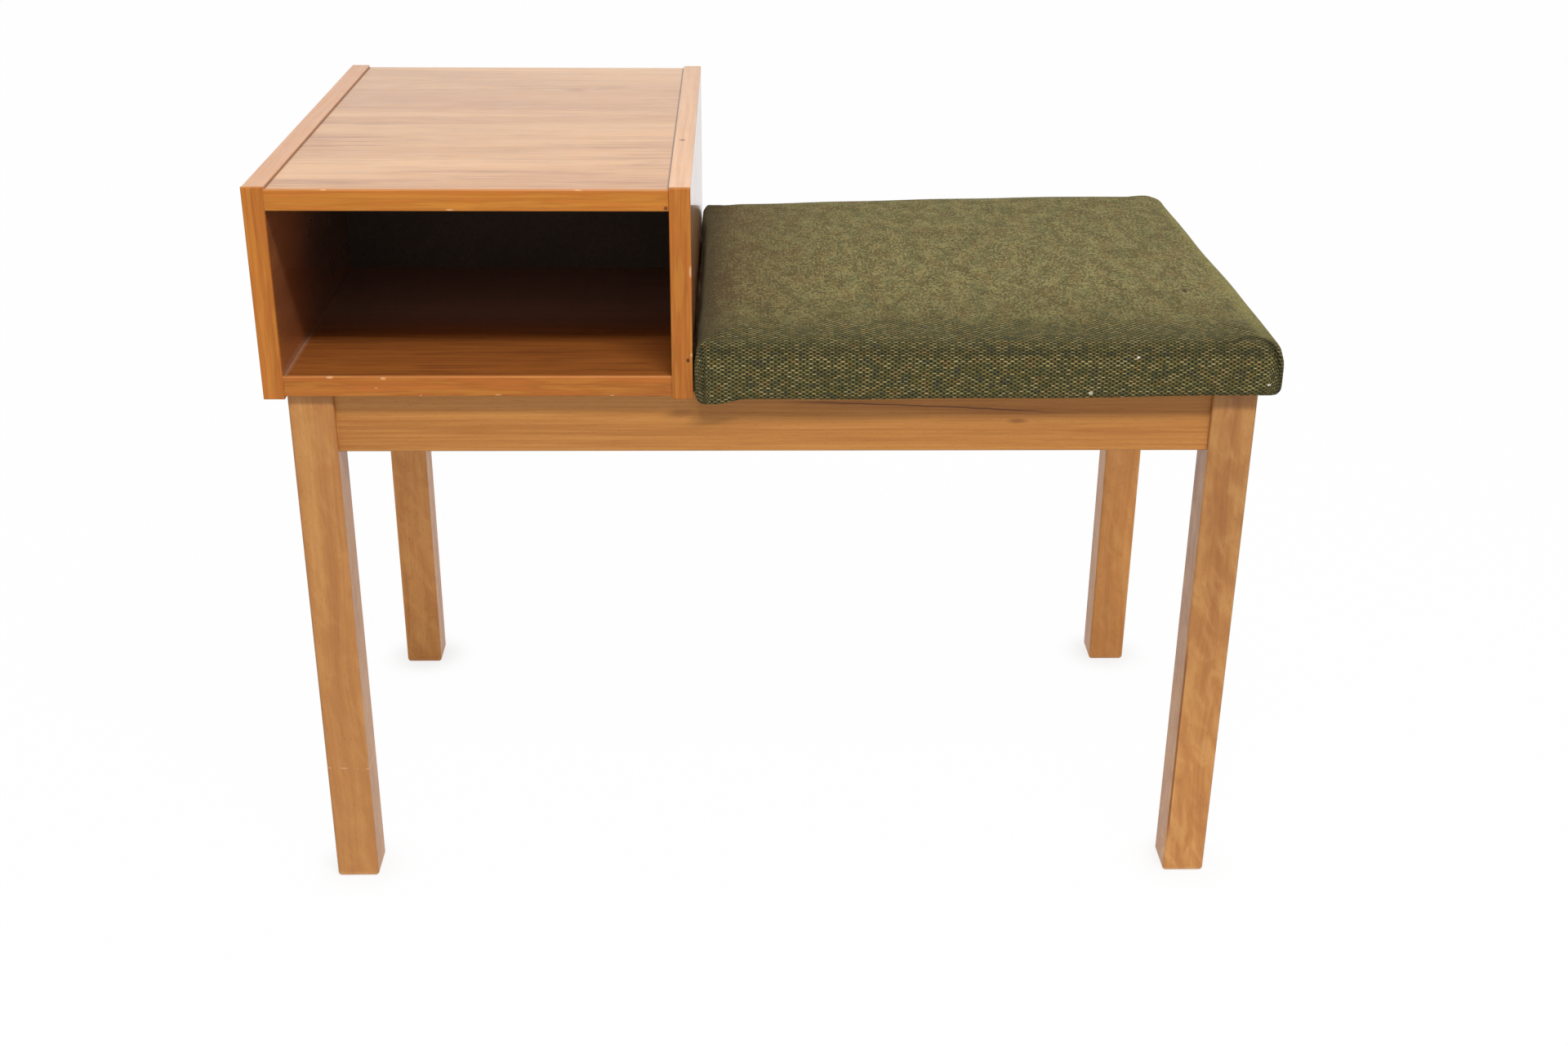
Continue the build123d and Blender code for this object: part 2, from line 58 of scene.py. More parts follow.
# ---------------------------------------------------------------- building materials
def linear(red, green, blue):
    """A colour seen on screen, 0 to 255, as the linear colour that a shader takes."""
    def one(c):
        c = c / 255
        return c / 12.92 if c <= 0.04045 else ((c + 0.055) / 1.055) ** 2.4
    return (one(red), one(green), one(blue), 1.0)


class Web:
    """The nodes of one material or world. Its methods take numbers, tuples or the sockets of other nodes."""

    def __init__(self, name, kind=bpy.data.materials):
        self.owner = kind.new(name)
        self.owner.use_nodes = True
        self.tree = self.owner.node_tree
        self.tree.nodes.clear()

    def put(self, socket, value):
        """Links another node's socket to this one, or sets its value; one number fills a whole vector."""
        if isinstance(value, bpy.types.NodeSocket):
            self.tree.links.new(value, socket)
        elif hasattr(socket.default_value, "__len__") and not hasattr(value, "__len__"):
            socket.default_value = [value] * len(socket.default_value)
        else:
            socket.default_value = value

    def node(self, kind, inputs=None, **settings):
        made = self.tree.nodes.new(kind)
        for key, value in settings.items():
            setattr(made, key, value)
        for key, value in (inputs or {}).items():
            self.put(made.inputs[key], value)
        return made

    def place(self):
        """The place on the piece, in its own frame."""
        return self.node("ShaderNodeTexCoord").outputs["Object"]

    def vec(self, operation, a, b=None):
        made = self.node("ShaderNodeVectorMath", operation=operation)
        self.put(made.inputs[0], a)
        if b is not None:
            self.put(made.inputs["Scale" if operation == "SCALE" else 1], b)
        return made.outputs["Value" if operation in ("LENGTH", "DOT_PRODUCT") else "Vector"]

    def stretch(self, vector, *sizes):
        return self.vec("MULTIPLY", vector, sizes)

    def math(self, operation, a, b=None):
        made = self.node("ShaderNodeMath", operation=operation)
        for socket, value in zip(made.inputs, (a, b)):
            if value is not None:
                self.put(socket, value)
        return made.outputs[0]

    def times(self, first, *others):
        for other in others:
            first = self.math("MULTIPLY", first, other)
        return first

    def plus(self, first, *others):
        for other in others:
            first = self.math("ADD", first, other)
        return first

    def minus(self, a, b):
        return self.math("SUBTRACT", a, b)

    def apart(self, a, b):
        """How far two numbers lie from each other."""
        return self.math("ABSOLUTE", self.minus(a, b))

    def swing(self, noise, amount):
        """A noise as a movement to both sides of its middle, amount wide."""
        return self.times(self.minus(noise, 0.5), amount)

    def split(self, vector):
        return tuple(self.node("ShaderNodeSeparateXYZ", {0: vector}).outputs)

    def join(self, x, y, z=0.0):
        return self.node("ShaderNodeCombineXYZ", {0: x, 1: y, 2: z}).outputs[0]

    def step(self, value, low, high, to_low=0.0, to_high=1.0):
        """Goes smoothly from to_low at low to to_high at high."""
        inputs = {"Value": value, "From Min": low, "From Max": high, "To Min": to_low, "To Max": to_high}
        return self.node("ShaderNodeMapRange", inputs, interpolation_type="SMOOTHSTEP").outputs[0]

    def noise(self, vector, scale=1.0, detail=3.0, rough=0.5, distort=0.0):
        inputs = {"Vector": vector, "Scale": scale, "Detail": detail, "Roughness": rough, "Distortion": distort}
        return self.node("ShaderNodeTexNoise", inputs).outputs[0]

    def over(self, colour, tint, *shares):
        """The tint laid over the colour by the product of the shares."""
        made = self.node("ShaderNodeMix", data_type="RGBA")
        for index, value in ((0, self.times(*shares)), (6, colour), (7, tint)):
            self.put(made.inputs[index], value)
        return made.outputs[2]

    def ramp(self, factor, *stops):
        made = self.node("ShaderNodeValToRGB", {0: factor})
        elements = made.color_ramp.elements
        while len(elements) < len(stops):
            elements.new(0.5)
        for element, (position, colour) in zip(elements, stops):
            element.position, element.color = position, colour
        return made.outputs[0]

    def spot(self, vector, centre, size, soft=0.5):
        """1 inside an ellipsoid round centre, fading to 0 at its rim."""
        off = self.vec("DIVIDE", self.vec("SUBTRACT", vector, centre), size)
        return self.step(self.vec("LENGTH", off), 1.0, 1.0 - soft)

    def bevel(self, radius):
        return self.node("ShaderNodeBevel", {"Radius": radius}, samples=6).outputs[0]

    def edges(self, radius):
        """1 along the edges of the shape and 0 away from them."""
        true = self.node("ShaderNodeNewGeometry").outputs["Normal"]
        bend = self.minus(1.0, self.vec("DOT_PRODUCT", self.bevel(radius), true))
        return self.step(bend, 0.02, 0.25)

    def finish(self, colour, rough, height=None, depth=0.0001, specular=0.5, coat=0.0, metal=0.0, sheen=None,
               edge=0.0, coat_rough=0.25):
        """Ends a material: height is its bump, depth metres deep, and edge rounds its edges in the shading."""
        inputs = {"Base Color": colour, "Roughness": rough, "Specular IOR Level": specular, "Coat Weight": coat,
                  "Coat Roughness": coat_rough, "Metallic": metal}
        if sheen:
            inputs.update(zip(("Sheen Weight", "Sheen Tint", "Sheen Roughness"), sheen))
        normal = self.bevel(edge) if edge else None
        if height is not None:
            bump = {"Height": height, "Distance": depth, "Strength": 1.0}
            if normal is not None:
                bump["Normal"] = normal
            normal = self.node("ShaderNodeBump", bump).outputs[0]
        if normal is not None:
            inputs["Normal"] = normal
        shader = self.node("ShaderNodeBsdfPrincipled", inputs)
        self.node("ShaderNodeOutputMaterial", {"Surface": shader.outputs[0]})
        return self.owner


EASED = 0.0006          # radius by which the shading rounds every wooden edge


def along(web, axis, origin=(0, 0, 0)):
    """The place on the piece with the grain turned to run along X, from origin."""
    x, y, z = web.split(web.vec("SUBTRACT", web.place(), origin))
    return web.join(*{"X": (x, y, z), "Y": (y, x, z), "Z": (z, x, y)}[axis])


def grain(web, path, band=22.0, streak=520.0, pore=1500.0, wander=0.6):
    """Three layers of a wood's figure along X: tone bands, fine streaks and dark pores."""
    drift = web.swing(web.noise(web.stretch(path, 4.0, 14.0, 14.0), detail=2.0), wander)
    band_path = web.vec("ADD", web.stretch(path, 1.0, band, band), web.join(0.0, drift, drift))
    line_path = web.vec("ADD", web.stretch(path, 9.0, streak, streak),
                        web.join(0.0, web.times(drift, 9.0), 0.0))
    bands = web.noise(band_path, scale=1.3, rough=0.55)
    lines = web.noise(line_path, rough=0.6)
    pores = web.step(web.noise(web.stretch(path, 70.0, pore, pore), detail=1.0), 0.60, 0.72)
    return bands, lines, pores


def wood(name, axis, light, middle, dark, origin=(0, 0, 0), rough=0.36, coat=0.15, coat_rough=0.25, band=22.0,
         streak=520.0, pores_show=0.35, lines_show=0.45, wander=0.6, wear_and_highlight=None, worn_and_lit=None, wear_radius=0.0022,
         marks=(), depth=0.00006, specular=0.45, extra=None):
    """A lacquered wood. marks are (centre, size, colour, strength) places; extra adds a piece's own layers."""
    web = Web(name)
    bands, lines, pores = grain(web, along(web, axis, origin), band, streak, wander=wander)
    tone = web.plus(web.times(bands, 1.0 - lines_show), web.times(lines, lines_show))
    colour = web.ramp(tone, (0.34, dark), (0.5, middle), (0.66, light))
    colour = web.over(colour, dark, pores, pores_show)
    here = web.place()
    if extra:
        colour = extra(web, here, colour)
    # pale edges rubbed by use, which also stand in for a painted highlight along the eased arrises
    if wear_and_highlight:
        patchy = web.step(web.noise(here, scale=90.0, rough=0.6), 0.36, 0.62)
        colour = web.over(colour, worn_and_lit, web.edges(wear_radius), patchy, wear_and_highlight)
    for centre, size, tint, strength in marks:
        colour = web.over(colour, tint, web.spot(here, centre, size), strength)
    gloss = web.plus(web.swing(web.noise(here, scale=38.0, detail=4.0, rough=0.65), 0.22), rough)
    height = web.minus(lines, web.times(pores, 1.2 if pores_show else 0.0))
    return web.finish(colour, gloss, height, depth, specular, coat, edge=EASED, coat_rough=coat_rough)


def paint(material, *names):
    """Gives CAD nodes a material in all of their slots."""
    for name in names:
        mesh = nodes[name].data
        if not mesh.materials:
            mesh.materials.append(material)
        for index in range(len(mesh.materials)):
            mesh.materials[index] = material


# ---------------------------------------------------------------- teak
PALE_WOOD = linear(226, 172, 112)


def painted_groove_shade(web, here, colour):
    """Painted shade: dark lines in the grooves where the standing sides meet the top panel."""
    x = web.split(here)[0]
    left, right = web.apart(x, CABINET_LEFT + SIDE_THICKNESS), web.apart(x, CABINET_RIGHT - SIDE_THICKNESS)
    close = web.step(web.math("MINIMUM", left, right), 0.0020, 0.0005)
    return web.over(colour, linear(70, 34, 16), close, 0.85)


def veneer_lines(web, here, colour):
    """The top: crisp dark grain, a paler rear, broad bands, a yellower front strip, a smear and painted shade
    in the grooves.
    """
    x, y, z = web.split(here)
    drift = web.swing(web.noise(web.stretch(here, 3.0, 9.0, 9.0), detail=2.0), 0.012)
    broken = web.step(web.noise(web.stretch(here, 6.0, 50.0, 1.0), detail=2.0), 0.34, 0.60, 0.35, 1.0)
    for long, close, strength in ((4.0, 120.0, 0.16), (7.0, 270.0, 0.62), (26.0, 620.0, 0.60)):
        bent = web.join(web.times(x, long), web.times(web.plus(y, drift), close), close)
        drawn = web.step(web.noise(bent, detail=1.0), 0.52, 0.64)
        colour = web.over(colour, linear(146, 92, 60), drawn, broken, strength)
    colour = web.over(colour, linear(226, 184, 144), web.step(y, -0.10, 0.20, 0.0, 0.30))
    wide = web.noise(web.stretch(here, 1.2, 13.0, 1.0), detail=2.0, distort=0.3)
    colour = web.over(colour, linear(190, 140, 100), web.step(wide, 0.46, 0.64, 0.0, 0.36))
    colour = web.over(colour, linear(230, 182, 132), web.step(wide, 0.50, 0.34, 0.0, 0.42))
    front = web.step(y, PANEL_FRONT + 0.0065, PANEL_FRONT + 0.0045)
    colour = web.over(colour, linear(216, 152, 84), front, 0.5)
    turned = web.join(web.plus(web.times(x, 0.95), web.times(y, 0.30)),
                      web.minus(web.times(y, 0.95), web.times(x, 0.30)), z)
    smear = web.spot(turned, (-0.115, 0.172, 0.606), (0.040, 0.010, 0.02), 0.9)
    ragged = web.step(web.noise(web.stretch(here, 60.0, 160.0, 1.0)), 0.36, 0.6)
    colour = web.over(colour, linear(150, 98, 66), smear, ragged, 0.55)
    return painted_groove_shade(web, here, colour)


def inner_floor(web, here, colour):
    """The compartment's floor: fine streaks, a rear painted duller and greyer as the shade deep inside, and a
    painted pale sheen line along the left side.
    """
    x, y = web.split(here)[:2]
    fine = web.noise(web.stretch(here, 16.0, 330.0, 1.0), detail=2.0)
    colour = web.over(colour, linear(96, 50, 22), web.step(fine, 0.50, 0.68, 0.0, 0.55))
    # painted shade: the rear turns duller and greyer, as it looks deep inside the compartment
    colour = web.over(colour, linear(146, 128, 120), web.step(y, -0.130, -0.050, 0.0, 0.6))
    # painted sheen: a pale line along the foot of the left side, in place of its reflection
    beside = web.step(web.apart(x, CABINET_LEFT + SIDE_THICKNESS), 0.0042, 0.0008)
    return web.over(colour, linear(164, 132, 114), beside, web.step(y, 0.0, -0.16), 0.42)


def inner_side(web, here, colour):
    """The standing sides: their inner faces are painted duller and greyer deep inside the compartment, as
    painted shade.
    """
    x, y = web.split(here)[:2]
    within = web.times(web.step(x, CABINET_LEFT + 0.012, CABINET_LEFT + 0.014),
                       web.step(x, CABINET_RIGHT - 0.012, CABINET_RIGHT - 0.014))
    # painted shade deep inside the compartment
    return web.over(colour, linear(92, 76, 68), within, web.step(y, -0.150, -0.060, 0.0, 0.6))


def lip_extra(axis, centre, width, arris=None):
    """Close straight grain on a lipping, a darker line along its middle and, at arris, a red edge and a pale
    one that is a painted highlight.

    axis is the one across the lipping's face: 0 on the sides, 2 on the panels.
    """
    def add(web, here, colour):
        def figure(close, long):
            sizes = (close, close, long) if axis == 0 else (long, close, close)
            return web.noise(web.stretch(here, *sizes), detail=2.0)
        value = web.split(here)[axis]
        colour = web.over(colour, linear(140, 78, 30), web.step(figure(760.0, 14.0), 0.50, 0.70, 0.0, 0.34))
        bend = web.swing(web.noise(here, scale=12.0, detail=1.0), 0.004)
        middle = web.step(web.apart(web.plus(value, bend), centre), width, width * 0.2)
        colour = web.over(colour, linear(120, 62, 22), middle, 0.08)
        warm = figure(300.0, 20.0)
        colour = web.over(colour, linear(196, 108, 44), web.step(warm, 0.48, 0.66, 0.0, 0.35))
        colour = web.over(colour, linear(204, 138, 54), web.step(warm, 0.50, 0.34, 0.0, 0.30))
        if arris:
            red = web.step(value, arris - 0.0050, arris - 0.0020, 0.0, 0.30)
            # the pale edge is a painted highlight along the arris
            pale = web.step(value, arris - 0.0012, arris - 0.0004, 0.0, 0.16)
            colour = web.over(web.over(colour, linear(170, 92, 34), red), linear(222, 164, 112), pale)
        return colour
    return add


def chips(y, *places):
    """Small pale marks on a front face: (x, z, half width, half height) of each."""
    return [((x, y, z), (wide, 0.003, high), linear(222, 168, 122), 0.7) for x, z, wide, high in places]


# the top's pale tones are partly the veneer's own paler colour and partly a painted sheen, standing in for the
# white room seen in its lacquer
paint(wood("teak_top", "X", linear(212, 162, 112), linear(203, 151, 101), linear(186, 132, 86),
           origin=(0.0, 0.03, 0.0), rough=0.42, coat=0.42, band=16.0, streak=430.0, pores_show=0.2,
           lines_show=0.3, depth=0.00004, extra=veneer_lines), "cabinet_top")
paint(wood("teak_floor", "X", linear(152, 90, 38), linear(137, 79, 32), linear(118, 64, 25),
           origin=(0.0, 0.41, 0.2), rough=0.42, coat=0.05, specular=0.3, band=18.0, pores_show=0.2,
           extra=inner_floor), "cabinet_bottom")
for name, offset in (("cabinet_left_side", 0.31), ("cabinet_right_side", 0.83)):
    paint(wood("teak_" + name, "Y", linear(180, 112, 68), linear(160, 96, 56), linear(136, 79, 46),
               origin=(offset, 0.0, 0.12), rough=0.24, coat=0.6, coat_rough=0.08, pores_show=0.0,
               lines_show=0.3, band=30.0, depth=0.0, extra=inner_side), name)

LIPPING = dict(rough=0.40, coat=0.0, specular=0.25, band=70.0, wear_and_highlight=0.7, worn_and_lit=PALE_WOOD, pores_show=0.1,
               lines_show=0.25, wear_radius=0.0016)
paint(wood("teak_left_front", "Z", linear(196, 124, 50), linear(180, 108, 38), linear(154, 86, 26),
           origin=(0.2, 0.1, 0.3), extra=lip_extra(0, CABINET_LEFT + 0.009, 0.0022), **LIPPING),
      "left_side_front_lipping")
paint(wood("teak_right_front", "Z", linear(188, 116, 46), linear(171, 101, 33), linear(146, 80, 24),
           origin=(0.7, 0.5, 0.1), extra=lip_extra(0, CABINET_RIGHT - 0.0085, 0.0022),
           marks=chips(CABINET_FRONT, (-0.0636, 0.5445, 0.0014, 0.0060), (-0.0636, 0.4790, 0.0012, 0.0020)) +
           [((-0.0664, CABINET_FRONT, 0.4746), (0.0016, 0.003, 0.0022), linear(52, 26, 14), 0.9)], **LIPPING),
      "right_side_front_lipping")
paint(wood("teak_top_lip", "X", linear(196, 126, 46), linear(180, 110, 35), linear(156, 88, 25),
           origin=(0.11, 0.0, 0.2), extra=lip_extra(2, 0.5995, 0.0018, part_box("top_lipping")[1].z),
           marks=chips(PANEL_FRONT, (-0.2396, 0.5912, 0.0035, 0.0009), (-0.3306, 0.6058, 0.0030, 0.0006),
                       (-0.1450, 0.6058, 0.0040, 0.0005)) +
           [((-0.0812, PANEL_FRONT, 0.5925), (0.0020, 0.003, 0.0020), linear(82, 42, 16), 0.8)], **LIPPING),
      "top_lipping")
paint(wood("teak_bottom_lip", "X", linear(186, 114, 44), linear(170, 100, 34), linear(148, 82, 26),
           origin=(0.5, 0.2, 0.0), extra=lip_extra(2, 0.4545, 0.0020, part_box("bottom_lipping")[1].z),
           marks=chips(PANEL_FRONT, (-0.3391, 0.4605, 0.0034, 0.0014), (-0.2986, 0.4596, 0.0026, 0.0014),
                       (-0.3046, 0.4518, 0.0014, 0.0006), (-0.2709, 0.4457, 0.0012, 0.0006),
                       (-0.2120, 0.4462, 0.0030, 0.0005), (-0.1250, 0.4458, 0.0022, 0.0005)), **LIPPING),
      "bottom_lipping")
for name, offset, tones in (
        ("left_side_top_lipping", 0.4, (linear(216, 158, 110), linear(205, 146, 98), linear(186, 126, 80))),
        ("right_side_top_lipping", 0.9, (linear(230, 180, 138), linear(220, 170, 126), linear(202, 148, 104)))):
    paint(wood("teak_" + name, "Y", *tones, origin=(offset, 0.2, 0.0), band=60.0, wear_and_highlight=0.6, coat=0.2,
               worn_and_lit=linear(232, 186, 138), marks=[((-0.0727, -0.0723, 0.608), (0.0030, 0.0045, 0.002),
                                                   linear(112, 62, 34), 0.8)]), name)

# ---------------------------------------------------------------- stained beech
BEECH = linear(210, 149, 86), linear(199, 136, 73), linear(182, 118, 60)
BEECH_WORN = linear(232, 182, 122)


def flecks(strength, sizes=(220.0, 900.0, 900.0)):
    """The short dark flecks of beech."""
    def add(web, here, colour):
        spots = web.step(web.noise(web.stretch(here, *sizes), detail=1.0, rough=0.4), 0.62, 0.74)
        return web.over(colour, linear(150, 90, 42), spots, strength)
    return add


def leg_extra(name, mottled, foot_painted_light, top_painted_light):
    """Mottled figure, flecks, painted light that makes each leg brighter or darker from foot to top, and a
    paler foot.

    The front left leg has a pale scratch across it, the front right one a dark line by an arris.
    """
    def add(web, here, colour):
        x, y, z = web.split(here)
        slanted = web.join(web.times(x, 70.0), web.times(y, 70.0),
                           web.plus(web.times(z, 40.0), web.times(x, 46.0)))
        mottle = web.noise(slanted, detail=2.0, distort=0.8)
        colour = web.over(colour, linear(176, 110, 54), web.step(mottle, 0.46, 0.68, 0.0, mottled))
        colour = web.over(colour, linear(222, 166, 102), web.step(mottle, 0.50, 0.32, 0.0, mottled * 0.8))
        colour = flecks(0.36, (900.0, 900.0, 200.0))(web, here, colour)
        # painted light: the leg's brightness goes from its foot value to its top value
        level = web.step(z, 0.06, 0.38, foot_painted_light, top_painted_light)
        colour = web.vec("MULTIPLY", colour, web.join(level, level, web.times(level, 0.90)))
        ragged = web.plus(z, web.times(web.noise(here, scale=120.0), 0.006))
        colour = web.over(colour, BEECH_WORN, web.step(ragged, 0.0085, 0.0035, 0.0, 0.5))
        if name == "leg_front_left":
            line = web.minus(0.1090, web.times(web.plus(x, 0.354), 0.05))
            scratch = web.step(web.apart(z, line), 0.0009, 0.0002)
            broken = web.step(web.noise(web.stretch(here, 90.0, 1.0, 1.0), detail=1.0), 0.4, 0.55)
            colour = web.over(colour, linear(232, 190, 150), scratch, broken, 0.6)
        if name == "leg_front_right":
            line = web.step(web.apart(x, 0.3416), 0.0010, 0.0003)
            long = web.times(web.step(z, 0.24, 0.20), web.step(z, 0.02, 0.06))
            front = web.step(y, LEG_FRONT + 0.004, LEG_FRONT + 0.002)
            colour = web.over(colour, linear(104, 52, 26), line, long, front, 0.75)
        return colour
    return add


def crack_and_knot(web, here, colour):
    """The curved hairline below the seat, with a faint wake, and the smudge of a small knot."""
    x, y, z = web.split(here)
    first, second = web.minus(x, 0.0201), web.minus(x, 0.1218)
    line = web.plus(web.times(first, -0.0344), 0.4361, web.times(first, second, -0.0994))
    shiver = web.swing(web.noise(web.stretch(here, 90.0, 1.0, 1.0), detail=2.0), 0.0012)
    off = web.apart(web.minus(z, line), shiver)
    ends = web.times(web.step(x, -0.01, 0.05), web.step(x, 0.25, 0.17))
    front = web.step(y, RAIL_FRONT + 0.004, RAIL_FRONT + 0.002)
    colour = web.over(colour, linear(84, 42, 20), web.step(off, 0.0009, 0.0002), ends, front, 0.8)
    colour = web.over(colour, linear(110, 58, 28), web.step(off, 0.0045, 0.0006), ends, front, 0.18)
    knot = web.spot(here, (0.1894, RAIL_FRONT, 0.4202), (0.011, 0.01, 0.0030), 0.8)
    return web.over(colour, linear(104, 56, 26), knot, 0.55)


def rail_extra(web, here, colour):
    """Fine straight lines, painted shade below the seat and painted light below the cabinet, flecks, hairline
    and knot.
    """
    x, _, z = web.split(here)
    fine = web.noise(web.stretch(here, 5.0, 460.0, 460.0), detail=2.0)
    colour = web.over(colour, linear(158, 96, 42), web.step(fine, 0.54, 0.70, 0.0, 0.4))
    colour = web.over(colour, linear(210, 148, 80), web.step(fine, 0.46, 0.32, 0.0, 0.25))
    # painted shade under the seat's overhang, darker towards the rail's top
    painted_seat_shade = web.times(web.step(x, -0.070, -0.055), web.step(z, 0.398, 0.432))
    colour = web.over(colour, linear(150, 92, 40), painted_seat_shade, 0.10)
    # painted light: the top of the rail under the cabinet is lighter
    painted_cabinet_light = web.times(web.step(x, -0.055, -0.070), web.step(z, 0.428, 0.434))
    colour = web.over(colour, linear(226, 166, 96), painted_cabinet_light, 0.30)
    return crack_and_knot(web, here, flecks(0.25)(web, here, colour))


# each leg: its name, how mottled it is, and its painted light at the foot and at the top
for index, (name, mottled, *tones) in enumerate((
        ("leg_front_left", 0.20, 0.91, 0.85), ("leg_front_right", 0.46, 0.98, 0.73),
        ("leg_back_left", 0.34, 1.42, 1.08), ("leg_back_right", 0.24, 1.28, 1.12))):
    low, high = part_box(name)
    paint(wood("beech_" + name, "Z", *BEECH, origin=(0.37 * index, (low.x + high.x) / 2, (low.y + high.y) / 2),
               rough=0.4, coat=0.08, band=46.0, streak=420.0, pores_show=0.12, lines_show=0.3, wander=1.2,
               wear_and_highlight=0.6, worn_and_lit=BEECH_WORN, wear_radius=0.0020, specular=0.4,
               extra=leg_extra(name, mottled, *tones)), name)
paint(wood("beech_front_rail", "X", linear(194, 135, 68), linear(182, 122, 58), linear(164, 104, 46),
           origin=(0.13, 0.1, 0.07), rough=0.42, coat=0.0, specular=0.3, band=60.0, streak=480.0,
           pores_show=0.2, wander=0.8, wear_and_highlight=0.6, worn_and_lit=BEECH_WORN, extra=rail_extra), "front_rail")
paint(wood("beech_back_rail", "X", *BEECH, origin=(0.6, 0.3, 0.01), rough=0.42, band=60.0, wear_and_highlight=0.5,
           worn_and_lit=BEECH_WORN, extra=flecks(0.3)), "back_rail")
for name, offset in (("left_rail", 0.2), ("right_rail", 0.8)):
    paint(wood("beech_" + name, "Y", *BEECH, origin=(offset, 0.1, 0.3), rough=0.42, band=60.0, wear_and_highlight=0.5,
               worn_and_lit=BEECH_WORN, extra=flecks(0.3, (900.0, 220.0, 900.0))), name)

# ---------------------------------------------------------------- plain beech, board, ply and steel
RAW_BEECH = linear(226, 190, 142), linear(212, 172, 122), linear(188, 144, 94)
PLY = 0.0034            # thickness of one ply
paint(wood("raw_beech_batten", "Y", *RAW_BEECH, rough=0.7, coat=0.0, specular=0.25, band=50.0,
           extra=flecks(0.4, (900.0, 220.0, 900.0))), "centre_batten")
paint(wood("raw_beech_blocks", "X", *RAW_BEECH, rough=0.7, coat=0.0, specular=0.25, band=50.0,
           origin=(0.3, 0.2, 0.1), extra=flecks(0.4)),
      "corner_block_front_left", "corner_block_front_right",
      "corner_block_back_left", "corner_block_back_right")
paint(wood("raw_beech_dowels", "X", *RAW_BEECH, rough=0.7, coat=0.0, specular=0.25), "cabinet_dowels")


def hardboard():
    """Pressed fibre board, brown, with a mesh-like speckle."""
    web = Web("hardboard")
    here = web.place()
    fibres = web.noise(web.stretch(here, 500.0, 500.0, 500.0), detail=4.0, rough=0.7, distort=1.5)
    tone = web.plus(web.times(fibres, 0.7), web.times(web.noise(here, scale=14.0), 0.3))
    colour = web.ramp(tone, (0.3, linear(50, 40, 33)), (0.5, linear(66, 54, 45)), (0.7, linear(84, 70, 58)))
    return web.finish(colour, 0.62, fibres, 0.00015, specular=0.3)


def plywood():
    """Birch ply, its face grain along X and its plies showing on the edges."""
    web = Web("plywood")
    bands, lines = grain(web, along(web, "X", (0.2, 0.1, 0.0)), 20.0, 420.0, wander=1.2)[:2]
    face = web.ramp(web.plus(web.times(bands, 0.6), web.times(lines, 0.4)),
                    (0.34, linear(186, 148, 100)), (0.5, linear(206, 170, 122)), (0.66, linear(222, 190, 144)))
    normal = web.node("ShaderNodeNewGeometry").outputs["Normal"]
    upright = web.step(web.math("ABSOLUTE", web.split(normal)[2]), 0.7, 0.3)
    ply = web.math("FRACT", web.times(web.split(web.place())[2], 1.0 / PLY))
    edge = web.over(linear(204, 166, 116), linear(158, 116, 72), web.step(web.apart(ply, 0.5), 0.30, 0.22))
    return web.finish(web.over(face, edge, upright), 0.72, lines, 0.00008, specular=0.25)


def steel():
    """Bright wire and screws, a little dulled."""
    web = Web("steel")
    clouds = web.noise(web.place(), scale=260.0, rough=0.6)
    colour = web.ramp(clouds, (0.35, linear(132, 126, 118)), (0.65, linear(186, 184, 180)))
    return web.finish(colour, web.step(clouds, 0.3, 0.7, 0.28, 0.45), clouds, 0.00002, metal=1.0)


paint(hardboard(), "cabinet_back", "compartment_back")
paint(plywood(), "seat_board")
paint(steel(), "corner_block_screws", "cabinet_screws", "seat_screws", "seat_staples", "back_panel_pins")

# ---------------------------------------------------------------- the cushion
ROLLS = {"right": 0.0125, "back": 0.0150, "left": 0.0100, "front": 0.0135}    # radius of the rolled upper edge
CORNERS = {(1, 1): 0.022, (-1, 1): 0.007, (-1, -1): 0.008, (1, -1): 0.007}     # radius of each corner in plan
DRAWN = 0.0012          # how far the sides pull in between the corners
CROWN = 0.0065          # how far the stuffed top rises above its rim
RIM = 0.4905            # height of the rim
TUCK = 0.060            # how far the cloth is drawn under the board
HEM = 0.0025            # radius of the lower edge
RECESS_TOP = 0.452      # inside the board's thickness, so that the board's underside shows
FULLER = 0.0010         # makes up for what the even mesh and the smoothing take off
VOXEL = 0.0044          # size of the even mesh's cells
SWELL = 0.0022          # the most that the stuffing moves the cloth
SIDE_POINTS, CORNER_POINTS = 88, 14
RING = 4 * (SIDE_POINTS + CORNER_POINTS)         # points of one ring round the cushion
TURNS = ((1, -1), (1, 1), (-1, 1), (-1, -1))     # the corners in the order of a ring's points
TOP_RINGS, ROLL_RINGS, SIDE_RINGS, TUCK_RINGS = 30, 8, 6, 10
LEAST_CORNER = 0.0015   # the smallest radius of a corner
FREE_ABOVE, HELD_BELOW = 0.480, 0.464    # heights between which the cloth is let go in the simulation
FRAMES = 20             # length of the simulation
CLOTH = dict(quality=5, mass=0.3, tension_stiffness=12, compression_stiffness=8, shear_stiffness=4,
             bending_stiffness=0.4, use_pressure=True, uniform_pressure_force=4.0)


def smooth_rise(value, low, high):
    """Goes smoothly from 0 at low to 1 at high, for whole arrays."""
    part = np.clip((value - low) / (high - low), 0.0, 1.0)
    return part * part * (3 - 2 * part)


